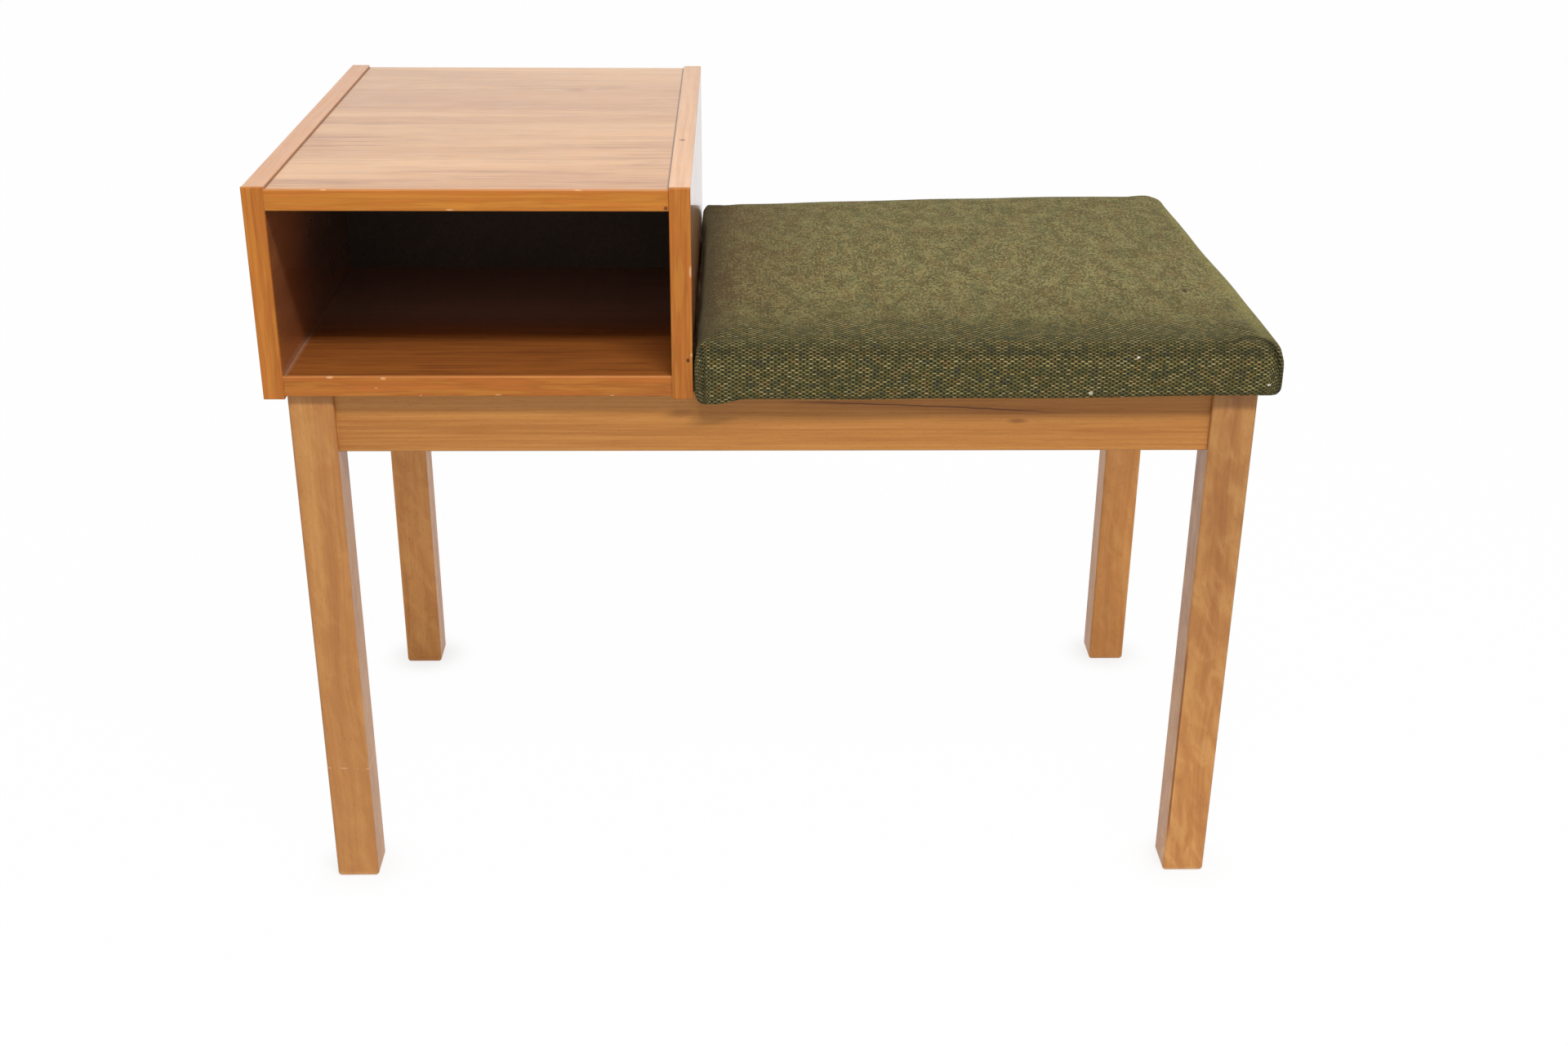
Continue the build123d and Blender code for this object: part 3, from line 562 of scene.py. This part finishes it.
def plan_point(index, inset):
    """The index-th point round the cushion's outline, seen from above and measured from its middle."""
    half_x, half_y = HALF_WIDE + FULLER - inset, HALF_DEEP + FULLER - inset
    side, place = divmod(index, SIDE_POINTS + CORNER_POINTS)
    first, last = TURNS[side], TURNS[(side + 1) % 4]
    r0, r1 = (max(CORNERS[turn] - inset, LEAST_CORNER) for turn in (first, last))
    if place >= SIDE_POINTS:
        angle = math.pi / 2 * (side + (place - SIDE_POINTS) / CORNER_POINTS)
        return (last[0] * (half_x - r1) + r1 * math.cos(angle), last[1] * (half_y - r1) + r1 * math.sin(angle))
    t = place / SIDE_POINTS
    if side % 2 == 0:
        y = first[0] * (t * (half_y - r1) - (1 - t) * (half_y - r0))
        return first[0] * (half_x - DRAWN * (1 - (y / half_y) ** 2)), y
    x = first[1] * ((1 - t) * (half_x - r0) - t * (half_x - r1))
    return x, first[1] * (half_y - DRAWN * (1 - (x / half_x) ** 2))


def roll_at(index):
    """Radius of the rolled upper edge at the index-th point of the outline."""
    marks, values = [], []
    for side, name in enumerate(("right", "back", "left", "front", "right")):
        start = side * (SIDE_POINTS + CORNER_POINTS)
        marks += [start + 4, start + SIDE_POINTS - 4]
        values += [ROLLS[name]] * 2
    return float(np.interp(index if index >= 4 else index + RING, marks, values))


def crown_at(x, y):
    """How far the stuffed top stands above its rim, for a place measured from the middle of the seat."""
    fall_x = max(0.0, 1 - abs(x / HALF_WIDE) ** 2.6)
    fall_y = max(0.0, 1 - abs(y / HALF_DEEP) ** 2.6)
    return CROWN * fall_x * fall_y


def link(name, data):
    """A new object in the scene."""
    made = bpy.data.objects.new(name, data)
    bpy.context.scene.collection.objects.link(made)
    return made


def cushion_start():
    """A closed stuffed form in rings: top, rolled edge, sides, tuck under the board and recess."""
    bottom = SEAT_LOW.z
    rolls = [roll_at(index) for index in range(RING)]
    rings = []
    for share in np.linspace(0.04, 0.97, TOP_RINGS):
        rings.append([(roll + (HALF_DEEP - roll - 0.002) * (1 - share), RIM, True) for roll in rolls])
    for step in range(ROLL_RINGS):
        angle = math.pi / 2 * step / (ROLL_RINGS - 1)
        inward, down = 1 - math.sin(angle), 1 - math.cos(angle)
        rings.append([(roll * inward, RIM - roll * down, True) for roll in rolls])
    for share in np.linspace(0.9, 0.0, SIDE_RINGS):
        rings.append([(0.0, bottom + HEM + (RIM - roll - bottom - HEM) * share, False) for roll in rolls])
    for inset, level in ((HEM * 0.3, bottom + HEM * 0.3), (HEM, bottom)):
        rings.append([(inset, level, False)] * RING)
    for inset in np.linspace(0.010, TUCK, TUCK_RINGS):
        rings.append([(inset, bottom, False)] * RING)
    rings.append([(TUCK + 0.002, RECESS_TOP, False)] * RING)
    verts, faces = [], []
    for ring in rings:
        for index, (inset, level, crowned) in enumerate(ring):
            x, y = plan_point(index, inset)
            verts.append((x + SEAT_CENTRE[0], y + SEAT_CENTRE[1], level + (crown_at(x, y) if crowned else 0.0)))
    for r in range(len(rings) - 1):
        for i in range(RING):
            a, b = r * RING + i, r * RING + (i + 1) % RING
            faces.append((a, a + RING, b + RING, b))
    top, under = len(verts), len(verts) + 1
    verts += [(*SEAT_CENTRE, RIM + CROWN), (*SEAT_CENTRE, RECESS_TOP)]
    last = (len(rings) - 1) * RING
    for i in range(RING):
        faces.append((top, i, (i + 1) % RING))
        faces.append((under, last + (i + 1) % RING, last + i))
    mesh = bpy.data.meshes.new("seat_cushion")
    mesh.from_pydata(verts, [], faces)
    mesh.validate()
    return link("seat_cushion", mesh)


def apply_modifiers(obj):
    """Bakes the modifiers of an object into its mesh."""
    graph = bpy.context.evaluated_depsgraph_get()
    baked = bpy.data.meshes.new_from_object(obj.evaluated_get(graph))
    obj.modifiers.clear()
    obj.data = baked


def coordinates(obj):
    """The places of an object's vertices, a row for each."""
    found = np.zeros(len(obj.data.vertices) * 3)
    obj.data.vertices.foreach_get("co", found)
    return found.reshape(-1, 3)


def set_coordinates(obj, places):
    """Moves an object's vertices to places."""
    obj.data.vertices.foreach_set("co", np.ascontiguousarray(places, dtype=np.float32).ravel())
    obj.data.update()


def stuff(obj):
    """Swells the cloth with a little pressure, its sides and lower edge held, and keeps the movement small."""
    before = coordinates(obj)
    held = obj.vertex_groups.new(name="held")
    for index, hold in enumerate(smooth_rise(before[:, 2], FREE_ABOVE, HELD_BELOW)):
        if hold > 0.01:
            held.add([index], float(hold), "REPLACE")
    cloth = obj.modifiers.new("stuffing", "CLOTH")
    for key, value in CLOTH.items():
        setattr(cloth.settings, key, value)
    cloth.settings.vertex_group_mass = "held"
    cloth.settings.effector_weights.gravity = 0.0
    cloth.collision_settings.use_collision = False
    cloth.point_cache.frame_start = 1
    cloth.point_cache.frame_end = FRAMES
    scene = bpy.context.scene
    for number in range(1, FRAMES + 1):
        scene.frame_set(number)
    apply_modifiers(obj)
    scene.frame_set(1)
    moved = coordinates(obj) - before
    length = np.linalg.norm(moved, axis=1, keepdims=True)
    share = np.minimum(1.0, SWELL / np.maximum(length, 1e-9))
    set_coordinates(obj, before + moved * share)


FOLDS = [    # where the cloth is folded over at a corner, from the lower edge up and over the roll
    [(0.3886, -0.2252, 0.449), (0.3878, -0.2260, 0.461), (0.3856, -0.2260, 0.470), (0.3838, -0.2248, 0.478),
     (0.3812, -0.2222, 0.485), (0.3769, -0.2168, 0.488), (0.3700, -0.2127, 0.4892), (0.3615, -0.2122, 0.4893),
     (0.3509, -0.2172, 0.4873), (0.3380, -0.2185, 0.4865)],
    [(-0.0541, -0.2256, 0.441), (-0.0549, -0.2260, 0.456), (-0.0549, -0.2258, 0.470),
     (-0.0551, -0.2244, 0.4762), (-0.0556, -0.2215, 0.4832), (-0.0562, -0.2125, 0.4868)],
    [(0.3760, 0.2150, 0.447), (0.3740, 0.2160, 0.458), (0.3700, 0.2130, 0.472), (0.3620, 0.2060, 0.482)],
    [(-0.0500, 0.2170, 0.447), (-0.0480, 0.2165, 0.460), (-0.0470, 0.2120, 0.474), (-0.0440, 0.2040, 0.480)],
]


def near_line(places, line):
    """Distance of every place from a line of points."""
    best = np.full(len(places), 1e9)
    for start, end in zip(line, line[1:]):
        a, b = np.array(start), np.array(end)
        along_line = np.clip(((places - a) @ (b - a)) / ((b - a) @ (b - a)), 0, 1)
        best = np.minimum(best, np.linalg.norm(places - (a + along_line[:, None] * (b - a)), axis=1))
    return best


FOLD_WIDTH = 0.0017
WALL, SQUASH = -0.0614, 0.0013     # the cushion's left limit, and how far the cloth may bulge beyond it


def dress(obj):
    """The uneven shape of a used seat: a sunk back corner, a drawn-in side, a hanging ear and folds."""
    p = coordinates(obj)
    flat = p[:, 2] < SEAT_LOW.z + 0.0012
    x, y, z = p[:, 0].copy(), p[:, 1].copy(), p[:, 2].copy()
    upper = smooth_rise(z, 0.456, 0.484)
    across, deep = (x - SEAT_CENTRE[0]) / HALF_WIDE, (y - SEAT_CENTRE[1]) / HALF_DEEP
    # the top: sunk at the back left, a little along the whole back and in one dent, raised at the back right
    z -= 0.0062 * upper * smooth_rise(x, 0.250, -0.050) * smooth_rise(y, -0.080, 0.195)
    z -= 0.0022 * upper * smooth_rise(y, 0.030, 0.200)
    z -= 0.0020 * upper * np.exp(-((x + 0.046) / 0.012) ** 2) * smooth_rise(y, 0.110, 0.200)
    z += 0.0016 * upper * np.exp(-((x - 0.33) / 0.08) ** 2) * smooth_rise(y, 0.0, 0.2)
    # the sides: gentle waves, pushed against the cabinet at the back and drawn in on the right
    side_wave = 0.0004 * np.sin(x * 83.0 + y * 77.0) + 0.0004 * np.sin(x * 41.0 - y * 53.0 + 0.7)
    side = smooth_rise(z, 0.488, 0.474) * smooth_rise(z, 0.447, 0.455)
    x += side_wave * side * np.sign(across) * np.abs(across) ** 9
    y += side_wave * side * np.sign(deep) * np.abs(deep) ** 9
    x -= 0.0020 * smooth_rise(y, 0.060, 0.180) * smooth_rise(x, -0.040, -0.058)
    taper = 0.0042 * smooth_rise(y, -0.090, 0.060) + 0.0018 * smooth_rise(y, 0.120, 0.200)
    x -= taper * smooth_rise(x, 0.20, 0.3905) * smooth_rise(z, 0.450, 0.470)
    x = np.where(x < WALL, WALL - SQUASH * np.tanh((WALL - x) / SQUASH), x)
    z += 0.0003 * (np.sin(x * 61.0 + 1.3) * np.sin(y * 47.0 + 0.6) + 0.6 * np.sin(x * 23.0 - y * 31.0)) * upper
    # the lower front edge: the hanging ear on the left, a slack middle and one small sag
    lower = smooth_rise(z, 0.458, 0.4465)
    outside = smooth_rise(y, -0.2190, -0.2225)
    z -= 0.0042 * lower * outside * smooth_rise(x, -0.022, -0.046)
    z -= 0.0028 * lower * outside * smooth_rise(x, 0.36, 0.20)
    z -= 0.0008 * lower * outside * np.exp(-((x - 0.065) / 0.05) ** 2)
    p = np.stack([x, y, z], axis=1)
    # the folds: a step in the front and back faces and a painted dark shade along each, which fades along the
    # rolled edge
    fold = np.zeros(len(p))
    for line, right, back in zip(FOLDS, (1, -1, 1, -1), (-1, -1, 1, 1)):
        close = near_line(p, line)
        fold = np.maximum(fold, np.exp(-(close / FOLD_WIDTH) ** 2))
        crossing = np.interp(p[:, 2], [q[2] for q in line], [q[0] for q in line])
        beyond = (p[:, 0] - crossing) * right
        lip = 0.0013 * smooth_rise(beyond, -0.0004, 0.0016) * np.exp(-np.maximum(beyond, 0) / 0.008)
        facing = (p[:, 1] * back > 0.19) & (close < 0.012)
        p[:, 1] += np.where(facing, lip * back, 0.0)
        p[:, 1] -= np.where(facing, 0.0007 * np.exp(-(close / 0.0018) ** 2) * back, 0.0)
    p[:, 2] = np.where(flat & (np.abs(p[:, 2] - SEAT_LOW.z) < 0.002) & (outside < 0.01), SEAT_LOW.z, p[:, 2])
    set_coordinates(obj, p)
    # the folds' painted shade, kept for the cloth's material
    crease_shade = obj.data.attributes.new("fold", "FLOAT", "POINT")
    fold *= np.where(p[:, 0] > 0.2, smooth_rise(p[:, 0], 0.334, 0.362), 0.7)
    crease_shade.data.foreach_set("value", fold.astype(np.float32))


def unroll(places):
    """Where each place of the cushion lies on the flat cloth, so that the weave runs over the rolled edges."""
    roll = ROLLS["front"]
    low = np.array([SEAT_LOW.x + ROLLS["left"], SEAT_LOW.y + roll])
    high = np.array([SEAT_HIGH.x - ROLLS["right"], SEAT_HIGH.y - roll])
    core = np.clip(places[:, :2], low, high)
    out = places[:, :2] - core
    reach = np.linalg.norm(out, axis=1)
    way = out / np.maximum(reach, 1e-9)[:, None]
    rise = places[:, 2] - (RIM - roll)
    turned = np.arctan2(reach, np.maximum(rise, 0.0))
    arc = np.where(rise > 0, roll * turned, roll * math.pi / 2 - rise)
    arc = np.where((rise <= 0) & (reach < roll * 0.7), reach, arc)
    return core + way * arc[:, None]


def weave_map(obj):
    """Stores the flat cloth's places as the UV map that the weave follows."""
    layer = obj.data.uv_layers.new(name="weave")
    spots = unroll(coordinates(obj))
    index = np.zeros(len(obj.data.loops), dtype=np.int32)
    obj.data.loops.foreach_get("vertex_index", index)
    layer.data.foreach_set("uv", spots[index].astype(np.float32).ravel())


DASH_PITCH, ROW_PITCH = 0.0054, 0.0016    # the weave repeats at 5.4 mm along a row and a row is 1.6 mm


def weave(web, flat):
    """Rows of short dashes with small holes between, each row offset by half.

    Gives the holes, the dashes and two kinds of chance values for each dash.
    """
    wobble = web.node("ShaderNodeTexNoise", {"Vector": flat, "Scale": 240.0, "Detail": 2.0}).outputs["Color"]
    bent = web.vec("ADD", flat, web.vec("SCALE", web.vec("SUBTRACT", wobble, (0.5, 0.5, 0.5)), 0.0012))
    u, v = web.split(bent)[:2]
    row = web.times(v, 1 / ROW_PITCH)
    row_number = web.math("FLOOR", row)
    column = web.plus(web.times(u, 1 / DASH_PITCH), web.times(row_number, 0.5))
    across, down = (web.apart(web.math("FRACT", place), 0.5) for place in (column, row))
    hole = web.times(web.step(across, 0.28, 0.42), web.step(down, 0.50, 0.20))
    dash = web.times(web.step(across, 0.36, 0.18), web.step(down, 0.46, 0.12))
    cell = web.node("ShaderNodeTexWhiteNoise", {"Vector": web.join(web.math("FLOOR", column), row_number)},
                    noise_dimensions="2D").outputs
    return hole, dash, cell[0], web.split(cell[1])


def cloth_material():
    """A melange wool weave, fresh at the sides and bleached and painted lighter on top, with the marks of use,
    with painted shade in places and one painted highlight.
    """
    web = Web("wool_cover")
    flat = web.node("ShaderNodeUVMap", uv_map="weave").outputs[0]
    here = web.place()
    x, y, z = web.split(here)
    upright = web.split(web.node("ShaderNodeNewGeometry").outputs["Normal"])[2]
    hole, dash, chance, tints = weave(web, flat)

    # the yarn's melange, then light dashes on darker ground with dark holes
    hue = web.noise(flat, scale=125.0, detail=2.0, rough=0.55)
    pick = web.plus(web.times(hue, 0.86), web.times(tints[0], 0.14))
    yarn = web.ramp(pick, (0.32, linear(82, 77, 66)), (0.41, linear(82, 85, 52)), (0.50, linear(104, 97, 57)),
                    (0.58, linear(114, 102, 52)), (0.66, linear(120, 86, 52)), (0.74, linear(92, 96, 62)))
    wide = web.noise(flat, scale=38.0, rough=0.55)
    yarn = web.over(yarn, linear(98, 90, 54), web.step(wide, 0.40, 0.62, 0.1, 0.5))
    bright = web.over(yarn, linear(176, 162, 114), dash, web.math("POWER", chance, 2.2))
    threads = web.over(web.over(yarn, linear(38, 35, 22), 0.45), bright, dash)
    fresh_cloth = web.over(threads, linear(20, 19, 12), hole, web.step(tints[1], 0.0, 1.0, 0.72, 1.0))

    # the top, bleached by use and painted lighter for the sheen of fibres seen at a low angle, specked darker
    # and paler and dyed a little red and green
    patches = web.noise(web.stretch(flat, 70.0, 36.0, 1.0), detail=5.0, rough=0.85)
    grit = web.noise(web.stretch(flat, 520.0, 240.0, 1.0), detail=1.0)
    mottle = web.plus(web.times(patches, 0.52), web.times(grit, 0.48))
    dye = web.noise(web.stretch(flat, 64.0, 28.0, 1.0), detail=2.0)
    faded_and_lit = web.over(yarn, linear(134, 123, 79), 0.45)
    for value, low, high, most, tint in (
            (mottle, 0.47, 0.57, 1.0, linear(86, 75, 46)), (mottle, 0.53, 0.42, 0.9, linear(170, 159, 106)),
            (dye, 0.50, 0.66, 0.28, linear(140, 108, 66)), (dye, 0.50, 0.34, 0.28, linear(112, 118, 76))):
        faded_and_lit = web.over(faded_and_lit, tint, web.step(value, low, high, 0.0, most))
    patchy = web.swing(web.noise(here, scale=26.0), 0.030)
    back = web.step(web.plus(y, patchy), -0.2110, -0.1660)
    # the top faces, bleached and painted lighter
    worn_and_lit = web.times(web.step(upright, 0.30, 0.90), back)
    colour = web.over(fresh_cloth, faded_and_lit, worn_and_lit, 0.54)

    # painted shade in several places and one painted highlight, each a tint and its shares
    # patches that break up the painted shade beside the cabinet
    shade_patches = web.step(web.noise(here, scale=11.0, rough=0.6), 0.34, 0.56, 0.45, 1.0)
    lip = web.times(web.step(z, 0.474, 0.482), web.step(z, 0.490, 0.486))
    crease_shade = web.node("ShaderNodeAttribute", attribute_name="fold").outputs["Fac"]
    for tint, *shares in (
            # painted shade on the front part of the top and on the lower lip of its rolled edge
            (linear(60, 56, 34), web.step(y, -0.105, -0.165), web.step(upright, 0.25, 0.75), 0.26),
            (linear(30, 28, 18), web.step(y, -0.219, -0.223), lip, 0.30),
            # painted shade where the cabinet shelters the top, in patches; a painted highlight on the right
            # front edge; the shade close beside the cabinet
            (linear(84, 64, 42), web.step(x, 0.06, -0.05), web.step(y, -0.21, -0.10), shade_patches,
             web.step(mottle, 0.36, 0.60, 0.62, 1.35), 0.60),
            # painted highlight on the rolled right front corner
            (linear(158, 150, 92), web.step(x, 0.366, 0.376), web.step(y, -0.224, -0.205), 0.30),
            (linear(52, 40, 28), web.step(x, -0.024, -0.057), web.step(y, -0.222, -0.205), 0.68),
            # painted shade along the folds
            (linear(18, 16, 11), crease_shade, 0.85)):
        colour = web.over(colour, tint, *shares)

    # one dark speck and three pale ones: centre, half height, tint
    for centre, size, tint in (((0.3343, -0.1147, 0.4960), 0.0020, linear(22, 18, 14)),
                               ((0.2775, -0.2255, 0.4770), 0.0014, linear(240, 232, 212)),
                               ((0.3793, -0.2265, 0.4561), 0.0012, linear(244, 240, 232)),
                               ((0.2425, -0.2260, 0.4490), 0.0016, linear(224, 218, 196))):
        colour = web.over(colour, tint, web.spot(here, centre, (size * 1.4, 0.006, size)), 0.85)
    hairs = web.noise(flat, scale=2400.0, detail=2.0)
    height = web.plus(web.minus(web.times(dash, 0.6), hole), web.times(hairs, 0.5))
    height = web.times(height, web.step(worn_and_lit, 0.0, 1.0, 1.0, 0.4))
    return web.finish(colour, 0.95, height, 0.0006, specular=0.1, sheen=(0.18, linear(190, 182, 140), 0.5))


cushion = cushion_start()
remesh = cushion.modifiers.new("even", "REMESH")
remesh.mode = "VOXEL"
remesh.voxel_size = VOXEL
apply_modifiers(cushion)
stuff(cushion)
cushion.vertex_groups.clear()
smoother = cushion.modifiers.new("smooth", "SUBSURF")
smoother.levels = smoother.render_levels = 1
apply_modifiers(cushion)
dress(cushion)
cushion.data.materials.clear()
cushion.data.materials.append(cloth_material())
cushion.data.polygons.foreach_set("use_smooth", [True] * len(cushion.data.polygons))
weave_map(cushion)
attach(cushion, "root")
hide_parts("seat_cover", "seat_foam")

# ---------------------------------------------------------------- floor, light and camera
WHITE = (1.0, 1.0, 1.0, 1.0)
AMBIENT = 0.42                          # strength of the white sky as the bench gets it
FLOOR_HALF = 6.0
FLOOR_COLOUR = (0.86, 0.84, 0.83, 1.0)
FLOOR_WHITE, FOOT_WHITE = 0.985, 0.80   # how white the camera sees the floor, and right under a foot
FOOT_REACH = 0.060                      # how far a foot's soft dark spot reaches
LAMP_ENERGY = 63.0
LAMP_WIDE, LAMP_HIGH = 1.5, 0.25
LAMP_TARGET, LAMP_AWAY = Vector((0.0, -0.15, 0.45)), 2.6
LAMP_LIFT, LAMP_TURN = math.radians(56.5), math.radians(12)
SENSOR, LENS = 36.0, 43.789             # millimetres
CAMERA_PLACE = (-0.027613, -1.593125, 0.967843)
YAW, PITCH, ROLL = 0.0256962, -0.4301224, 0.0083246


def seen(web):
    """1 for rays that come from the camera, a reflection or a transmission, and 0 for others."""
    path = web.node("ShaderNodeLightPath").outputs
    first = web.math("MAXIMUM", path["Is Camera Ray"], path["Is Glossy Ray"])
    return web.math("MAXIMUM", first, path["Is Transmission Ray"])


def shaders_mixed(web, share, first, second):
    return web.node("ShaderNodeMixShader", {0: share, 1: first, 2: second}).outputs[0]


def white_world():
    """A white sky that lights the bench with less than the white that the camera sees."""
    web = Web("studio", bpy.data.worlds)
    bpy.context.scene.world = web.owner
    ambient, white = (web.node("ShaderNodeBackground", {"Color": WHITE, "Strength": strength}).outputs[0]
                      for strength in (AMBIENT, 1.0))
    web.node("ShaderNodeOutputWorld", {"Surface": shaders_mixed(web, seen(web), ambient, white)})


def pale_floor():
    """A floor that the camera sees almost white, with a soft spot of painted shade under each foot."""
    mesh = bpy.data.meshes.new("floor")
    corners = [(x * FLOOR_HALF, y * FLOOR_HALF, 0) for x, y in ((-1, -1), (1, -1), (1, 1), (-1, 1))]
    mesh.from_pydata(corners, [], [(0, 1, 2, 3)])
    made = link("floor", mesh)
    web = Web("floor")
    here = web.place()
    diffuse = web.node("ShaderNodeBsdfDiffuse", {"Color": FLOOR_COLOUR}).outputs[0]
    glow = web.node("ShaderNodeEmission", {"Color": WHITE, "Strength": 1.0}).outputs[0]
    # painted shade: less of the white glow round each foot, so the floor's shading shows there
    near = 0.0
    for name in ("leg_front_left", "leg_front_right", "leg_back_left", "leg_back_right"):
        low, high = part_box(name)
        middle = ((low.x + high.x) / 2, (low.y + high.y) / 2, 0)
        near = web.plus(near, web.spot(here, middle, (FOOT_REACH, FOOT_REACH, 1.0), 1.0))
    lit = web.times(web.step(near, 0.0, 1.0, FLOOR_WHITE, FOOT_WHITE), seen(web))
    web.node("ShaderNodeOutputMaterial", {"Surface": shaders_mixed(web, lit, diffuse, glow)})
    mesh.materials.append(web.owner)


def soft_key():
    """One broad, shallow lamp above and in front of the bench."""
    lamp = bpy.data.lights.new("key", "AREA")
    lamp.shape = "RECTANGLE"
    lamp.size, lamp.size_y = LAMP_WIDE, LAMP_HIGH
    lamp.energy = LAMP_ENERGY
    level = math.cos(LAMP_LIFT)
    way = Vector((math.sin(LAMP_TURN) * level, -math.cos(LAMP_TURN) * level, math.sin(LAMP_LIFT)))
    place = LAMP_TARGET + LAMP_AWAY * way
    made = link("key", lamp)
    made.location = place
    made.rotation_euler = (LAMP_TARGET - place).to_track_quat("-Z", "Y").to_euler()


def photo_camera():
    """The camera at the photo's place, as fitted to the straight edges of legs, rails and cabinet."""
    data = bpy.data.cameras.new("camera")
    data.sensor_width, data.lens = SENSOR, LENS
    made = link("camera", data)
    forward = Vector((math.sin(YAW) * math.cos(PITCH), math.cos(YAW) * math.cos(PITCH), math.sin(PITCH)))
    right = Vector((math.cos(YAW), -math.sin(YAW), 0.0))
    up = right.cross(forward)
    rolled_right = math.cos(ROLL) * right + math.sin(ROLL) * up
    rolled_up = -math.sin(ROLL) * right + math.cos(ROLL) * up
    turn = Matrix((rolled_right, rolled_up, -forward)).transposed().to_4x4()
    made.matrix_world = Matrix.Translation(CAMERA_PLACE) @ turn
    bpy.context.scene.camera = made


white_world()
pale_floor()
soft_key()
photo_camera()
bpy.context.scene.view_settings.view_transform = "Standard"
